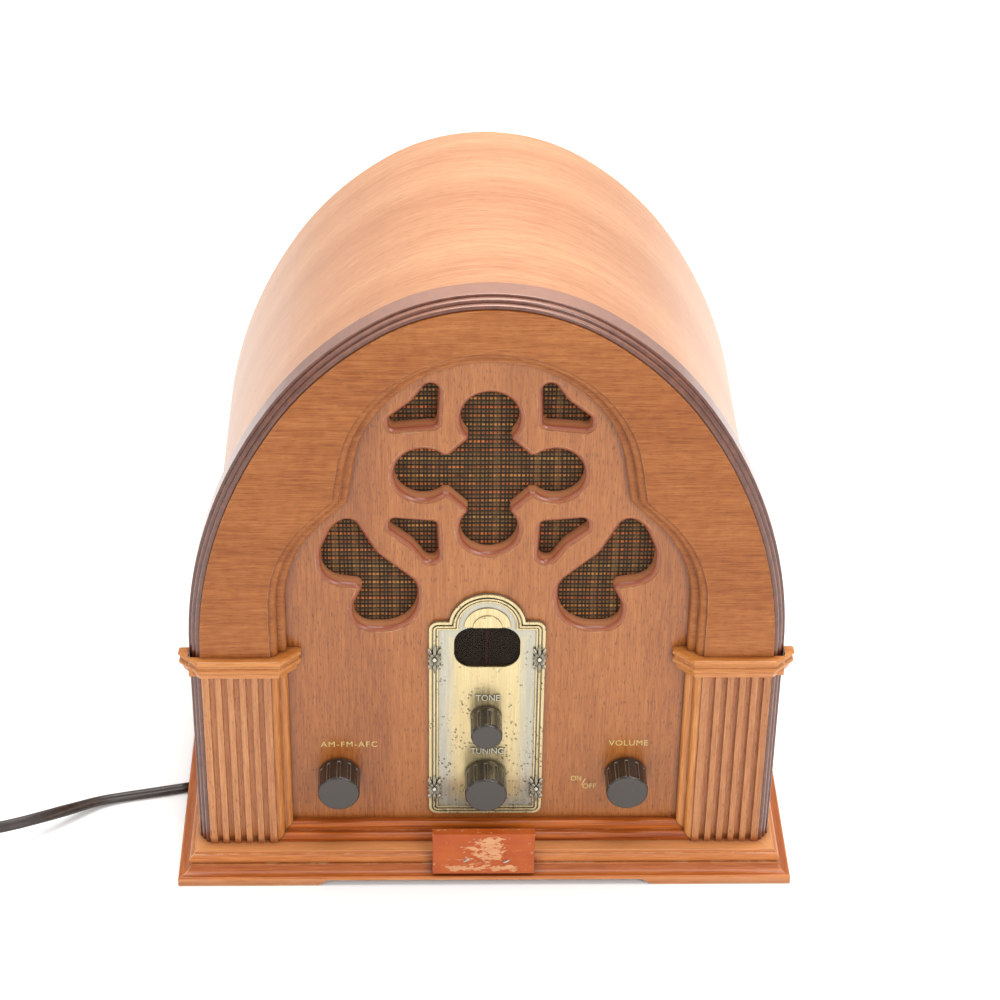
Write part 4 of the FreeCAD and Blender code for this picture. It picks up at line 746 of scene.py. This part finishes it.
def make_cloth(material):
    """Woven panel behind the openings, its slubs standing out of the weave."""
    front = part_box("grille_cloth")[0].y
    left, right = CLOTH_LEFT, CLOTH_RIGHT
    bottom, top = CLOTH_BOTTOM, CLOTH_TOP
    columns = int((right - left) / CLOTH_STEP)
    rows = int((top - bottom) / CLOTH_STEP)
    xs = np.linspace(left, right, columns + 1)
    zs = np.linspace(bottom, top, rows + 1)
    grid_x, grid_z = np.meshgrid(xs, zs)
    u = grid_x / WEAVE_ACROSS % 1.0
    v = grid_z / WEAVE_UP % 1.0
    raised = np.zeros_like(u)
    for start, end in WARP:
        inside = np.clip((u - start) / (end - start), 0, 1)
        raised = np.maximum(raised, np.sin(np.pi * inside))
    weft = np.abs(np.sin(2 * np.pi * v))
    depth = front + WEAVE_DEPTH - SLUB_RELIEF * raised * weft - WEFT_RELIEF * weft
    points = np.stack([grid_x, depth, grid_z], axis=-1).reshape(-1, 3)
    half, foot, height = CLOTH_ARCH
    arch = (grid_x / half) ** 2 + (np.maximum(grid_z - foot, 0) / height) ** 2 < 1
    dial = (np.abs(grid_x) < CLOTH_DIAL[0]) & (grid_z < CLOTH_DIAL[1])
    keep = arch & ~dial
    width = columns + 1
    used = keep[:-1, :-1] & keep[1:, :-1] & keep[:-1, 1:] & keep[1:, 1:]
    corners = [(i * width + j, i * width + j + 1, (i + 1) * width + j + 1, (i + 1) * width + j)
               for i, j in zip(*np.nonzero(used))]
    number = {old: new for new, old in enumerate(sorted({k for face in corners for k in face}))}
    faces = [tuple(number[k] for k in face) for face in corners]
    cloth = mesh_object("grille_weave", points[list(number)].tolist(), faces)
    cloth.data.materials.append(material)
    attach(cloth, "cabinet")
    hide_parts("grille_cloth")


# ---------------------------------------------------------------- lettering

# Setbacks of the panel and of the metal plate's field and raised columns.
PANEL_FACE = 21.0
PLATE_FACE = 20.0
PLATE_COLUMN_FACE = 19.3


def lettering(name, text, left, right, base, cap, setback, depth, material, weight=0.0,
              spacing=1.0):
    """Capitals that fill a width from left to right and a height, cap, above
    their base, and stand out of the face at a setback by depth."""
    curve = bpy.data.curves.new(name, "FONT")
    curve.body = text
    curve.extrude = 0.5
    curve.offset = weight
    curve.space_character = spacing
    source = bpy.data.objects.new(name + "_source", curve)
    bpy.context.scene.collection.objects.link(source)
    bpy.context.view_layer.update()
    mesh = bpy.data.meshes.new_from_object(source)
    bpy.data.objects.remove(source)
    co = np.zeros(len(mesh.vertices) * 3)
    mesh.vertices.foreach_get("co", co)
    co = co.reshape(-1, 3)
    low, high = co.min(0), co.max(0)
    face = spot(0, setback, 0).y
    placed = np.empty_like(co)
    placed[:, 0] = (left + (right - left) * (co[:, 0] - low[0]) / (high[0] - low[0])) * MM
    placed[:, 2] = (base + cap * (co[:, 1] - low[1]) / (high[1] - low[1])) * MM
    placed[:, 1] = face - depth * MM * (co[:, 2] - low[2]) / (high[2] - low[2])
    mesh.vertices.foreach_set("co", placed.ravel())
    mesh.update()
    thing = bpy.data.objects.new(name, mesh)
    bpy.context.scene.collection.objects.link(thing)
    mesh.materials.clear()
    mesh.materials.append(material)
    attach(thing, "cabinet")


# ---------------------------------------------------------------- small parts

# Across a leaf: share of the half-width, and of the height.
LEAF_PROFILE = ((-1, 0.0), (-0.55, 0.95), (0, 0.55), (0.55, 0.95), (1, 0.0))
# The leaves of a spray: angle, length, and how far out the leaf starts.
SPRAY = ((90, 7.2, 1.8), (60, 3.9, 1.2), (120, 3.9, 1.2), (25, 2.9, 0.8), (155, 2.9, 0.8),
         (64, 3.2, 6.0), (116, 3.2, 6.0))
NAIL_RADIUS = 0.42


def leaf(points, faces, centre, length, width, height, angle):
    """Adds one leaf: a pointed dome lying on the plate, with a sunk midrib."""
    first = len(points)
    steps = 8
    wide = len(LEAF_PROFILE)
    turn = math.radians(angle)
    forward = Vector((math.cos(turn), 0, math.sin(turn)))
    across = Vector((-math.sin(turn), 0, math.cos(turn)))
    for i in range(steps + 1):
        t = i / steps
        half = width / 2 * math.sin(math.pi * t ** 0.8)
        rise = height * math.sin(math.pi * min(1.0, 0.08 + 0.9 * t))
        for share, lift in LEAF_PROFILE:
            here = centre + forward * (length * t) + across * (half * share)
            points.append(here + Vector((0, -rise * lift, 0)))
    for i in range(steps):
        for j in range(wide - 1):
            a = first + i * wide + j
            faces.append((a, a + wide, a + wide + 1, a + 1))


def bead(points, faces, centre, radius, height):
    """Adds one round boss lying on the plate."""
    first = len(points)
    rings, around = 4, 12
    for i in range(rings):
        tilt = math.pi / 2 * i / rings
        for j in range(around):
            turn = 2 * math.pi * j / around
            offset = Vector((math.cos(turn), 0, math.sin(turn))) * (radius * math.cos(tilt))
            points.append(centre + offset + Vector((0, -height * math.sin(tilt), 0)))
    points.append(centre + Vector((0, -height, 0)))
    for i in range(rings - 1):
        for j in range(around):
            k = (j + 1) % around
            faces.append((first + i * around + j, first + i * around + k,
                          first + (i + 1) * around + k, first + (i + 1) * around + j))
    last = first + (rings - 1) * around
    for j in range(around):
        faces.append((last + j, last + (j + 1) % around, first + rings * around))


def make_leaf_ornaments(material):
    """Four cast sprays of leaves on the plate's side columns."""
    points, faces = [], []
    for side in (-1, 1):
        for height in (113.0, 40.5):
            centre = spot(side * 22.7, PLATE_COLUMN_FACE, height)
            for sign in (-1, 1):
                for angle, length, start in SPRAY:
                    turn = math.radians(sign * angle)
                    out = Vector((math.cos(turn), 0, math.sin(turn)))
                    foot = centre + out * (start * MM * 0.5)
                    leaf(points, faces, foot, length * MM, 1.6 * MM, 1.6 * MM, sign * angle)
            bead(points, faces, centre, 1.3 * MM, 1.8 * MM)
    thing = mesh_object("leaf_ornaments", points, faces)
    thing.data.materials.append(material)
    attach(thing, "cabinet")


def make_label_nails(material):
    """Two small bent nails left in the label block."""
    points, faces = [], []
    for x, z, lean in ((-8.6, 14.6, 38), (9.4, 13.9, 30)):
        turn = math.radians(lean)
        along = Vector((math.cos(turn), 0, math.sin(turn))) * 1.5 * MM
        centre = spot(x, 0.35, z)
        places = [centre - along, centre - along * 0.3 + Vector((0, -0.35, 0)) * MM,
                  centre + along * 0.4 + Vector((0, -0.4, 0)) * MM, centre + along]
        more, quads = round_tube(places, NAIL_RADIUS * MM, 8, 4)
        offset = len(points)
        points += more
        faces += [tuple(i + offset for i in face) for face in quads]
    thing = mesh_object("label_nails", points, faces)
    thing.data.materials.append(material)
    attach(thing, "cabinet")


# ---------------------------------------------------------------- setting

def make_setting():
    s = Shader("pale_floor")
    speck = s.noise(40.0, detail=3.0, roughness=0.6)
    colour = s.mix(speck, (0.93, 0.93, 0.93), (0.96, 0.96, 0.96))
    material = s.finish(Base_Color=colour, Roughness=0.6)
    half = 6
    corners = [(-half, -half, 0), (half, -half, 0), (half, half, 0), (-half, half, 0)]
    floor = mesh_object("floor", corners, [(0, 1, 2, 3)], smooth=False)
    floor.data.materials.append(material)
    world = bpy.data.worlds.new("studio")
    world.use_nodes = True
    sky = world.node_tree.nodes["Background"].inputs
    sky["Color"].default_value = (1, 1, 1, 1)
    sky["Strength"].default_value = 0.72
    bpy.context.scene.world = world
    lights = [  # name, place, where it points, width in metres, watts
        ("overhead", (0.15, 0.15, 1.7), (0, 0.02, 0.15), 1.3, 32.0),
        ("front_right", (0.9, -1.5, 1.15), (0, 0, 0.12), 0.8, 14.0),
        ("front_left", (-1.2, -1.3, 1.0), (0, 0, 0.12), 0.8, 5.0),
    ]
    for name, place, target, width, power in lights:
        lamp = bpy.data.lights.new(name, "AREA")
        lamp.size = width
        lamp.energy = power
        thing = bpy.data.objects.new(name, lamp)
        thing.location = place
        thing.rotation_euler = (Vector(target) - Vector(place)).to_track_quat("-Z", "Y").to_euler()
        bpy.context.scene.collection.objects.link(thing)
    bpy.context.scene.view_settings.view_transform = "Standard"


# ---------------------------------------------------------------- all

def dress_cabinet():
    # Dark, middle and light tones of each wood.
    front = ((0.21, 0.052, 0.009), (0.305, 0.094, 0.019), (0.41, 0.150, 0.040))
    panel = ((0.22, 0.054, 0.006), (0.335, 0.104, 0.016), (0.44, 0.160, 0.038))
    column = ((0.32, 0.110, 0.034), (0.44, 0.178, 0.066), (0.57, 0.262, 0.110))
    # The veneer's tones are partly its own paler colour and partly a painted whitish sheen.
    veneer = ((0.42, 0.175, 0.082), (0.51, 0.245, 0.125), (0.61, 0.325, 0.175))
    plinth = ((0.33, 0.085, 0.011), (0.47, 0.148, 0.028), (0.62, 0.235, 0.060))
    trim = ((0.34, 0.095, 0.014), (0.49, 0.175, 0.036), (0.64, 0.275, 0.080))
    bare = (0.82, 0.55, 0.31)
    give("front_frame", wood("frame_wood", front, "x", 1, flecks=0.3, wear=bare, wear_share=0.35,
                             ripple=0.25, coat=0.05, gloss=0.26))
    give("baffle", wood("panel_wood", panel, "z", 2, flecks=0.65, wear=bare, wear_share=0.6,
                        coat=0.55, extra=routed_edge))
    give("recess_moulding", wood("moulding_wood", trim, "z", 3, flecks=0.2, wear=bare,
                                 wear_share=0.4, coat=0.2, extra=sill_joint))
    reeded = dict(flecks=0.45, wear=bare, hollow=0.0009, extra=lit_groove_floors_and_reed_ends)
    carved = dict(flecks=0.1, wear=bare, wear_share=0.9, coat=0.3)
    base = dict(flecks=0.1, wear=bare, wear_share=0.9, coat=0.25, hollow=0.006, extra=plinth_wear_and_painted_light)
    for side, seed in (("left", 8), ("right", 9)):
        give("pilaster_" + side, wood("column_wood_" + side, column, "z", seed, **reeded))
        give("capital_" + side, wood("capital_wood_" + side, trim, "x", seed + 2, **carved))
        give("plinth_" + side, wood("plinth_wood_" + side, plinth, "y", seed + 5, **base))
    give("plinth_front", wood("plinth_wood_front", plinth, "x", 12, **base))
    give("cabinet_shell", wood("veneer_wood", veneer, "round", 13, flecks=0.25, coat=0.2,
                               extra=painted_crown_sheen))
    give("outer_moulding", dark_lacquer())
    give("label_block", worn_label())
    give("base_board", plain("raw_board", (0.40, 0.25, 0.13), (0.55, 0.38, 0.21), 300.0, 0.8,
                             grain=(0.06, 1, 1)))
    give("back_cleats", plain("pine", (0.55, 0.38, 0.20), (0.68, 0.50, 0.29), 400.0, 0.7,
                              grain=(1, 1, 0.06)))
    give("back_panel", plain("hardboard", (0.10, 0.052, 0.026), (0.17, 0.092, 0.048), 1100.0, 0.75,
                             height=0.0001))


def dress_fittings(vinyl_look):
    give("escutcheon", antique_plate())
    give("dial_lens", clear_sheet())
    give("dial_plate", plain("dial_black", (0.010, 0.009, 0.008), (0.022, 0.018, 0.015),
                             200.0, 0.6))
    give("dial_pointer", plain("pointer_red", (0.42, 0.012, 0.008), (0.55, 0.025, 0.015),
                               500.0, 0.45))
    knobs = knob_plastic()
    for node in ("tuning_knob", "tone_knob", "volume_knob", "band_knob"):
        give(node, knobs)
    for node in ("plug", "strain_relief"):
        give(node, vinyl_look)
    give("plug_prongs", plain("prong_brass", (0.62, 0.44, 0.18), (0.78, 0.60, 0.30),
                              600.0, 0.28, 1.0, (1, 1, 0.1)))


def dress_inside():
    """The parts behind the panel and at the back; gives the zinc's material."""
    steel = plain("zinc_plate", (0.46, 0.46, 0.44), (0.62, 0.62, 0.58), 700.0, 0.38, 1.0)
    shaft = plain("turned_metal", (0.55, 0.55, 0.55), (0.70, 0.70, 0.70), 900.0, 0.3, 1.0,
                  (1, 0.05, 1))
    nylon = plain("nylon", (0.52, 0.49, 0.42), (0.62, 0.59, 0.52), 250.0, 0.5)
    core = plain("varnished_steel", (0.05, 0.05, 0.055), (0.11, 0.10, 0.10), 800.0, 0.5, 0.5,
                 (1, 0.04, 1))
    copper = plain("winding", (0.25, 0.07, 0.02), (0.42, 0.14, 0.05), 900.0, 0.4, 0.2,
                   (1, 1, 0.05), coat=0.3)
    braid = plain("braid", (0.45, 0.41, 0.33), (0.62, 0.58, 0.48), 3000.0, 0.8)
    laminate = plain("laminate", (0.24, 0.12, 0.035), (0.34, 0.18, 0.06), 300.0, 0.5)
    components = plain("components", (0.012, 0.014, 0.03), (0.05, 0.055, 0.10), 180.0, 0.4,
                       coat=0.2)
    ferrite = plain("ferrite", (0.02, 0.02, 0.02), (0.05, 0.05, 0.05), 900.0, 0.55)
    paper = plain("paper_cone", (0.012, 0.012, 0.012), (0.03, 0.03, 0.028), 1500.0, 0.9,
                  height=0.0002)
    looks = (
        (steel, ("back_screws", "machine_screws", "control_nuts", "chassis_plate", "standoffs",
                 "lamp_holder", "speaker_basket", "volume_pot", "tone_pot", "tuning_bearing")),
        (shaft, ("tuning_shaft", "tone_shaft", "volume_shaft", "band_shaft", "capacitor_rotor")),
        (nylon, ("tuning_drum", "cord_pulley", "band_switch", "tuning_capacitor", "rod_clips")),
        (core, ("transformer_core", "speaker_magnet")),
        (copper, ("transformer_winding", "antenna_coil")),
        (braid, ("dial_cord",)),
        (laminate, ("circuit_board",)),
        (components, ("board_components",)),
        (ferrite, ("ferrite_rod",)),
        (paper, ("speaker_cone",)),
        (clear_sheet(), ("dial_lamp",)),
    )
    for material, parts in looks:
        for part in parts:
            give(part, material)
    return steel


def make_all():
    make_camera()
    lead_look = vinyl()
    make_lead(lead_look)
    make_setting()
    dress_cabinet()
    dress_fittings(lead_look)
    steel = dress_inside()
    make_cloth(weave_cloth())
    cast = cast_metal()
    gilt = gilt_print()
    for name, text, left, right, base, cap in (
            ("tone_letters", "TONE", -4.7, 5.8, 89.7, 3.4),
            ("tuning_letters", "TUNING", -6.7, 7.8, 60.0, 3.3)):
        lettering(name, text, left, right, base, cap, PLATE_FACE, 0.6, cast, 0.014)
    for name, text, left, right, base, cap, spacing in (
            ("band_legend", "AM-FM-AFC", -73.0, -48.0, 62.9, 3.0, 1.2),
            ("volume_legend", "VOLUME", 54.6, 72.0, 63.2, 3.0, 1.1),
            ("on_legend", "ON", 38.3, 42.9, 43.1, 2.8, 1.0),
            ("slash_legend", "/", 43.0, 45.0, 40.6, 3.8, 1.0),
            ("off_legend", "OFF", 43.6, 49.8, 38.6, 2.8, 1.0)):
        lettering(name, text, left, right, base, cap, PANEL_FACE, 0.06, gilt, 0.0, spacing)
    make_leaf_ornaments(cast)
    make_label_nails(steel)


make_all()
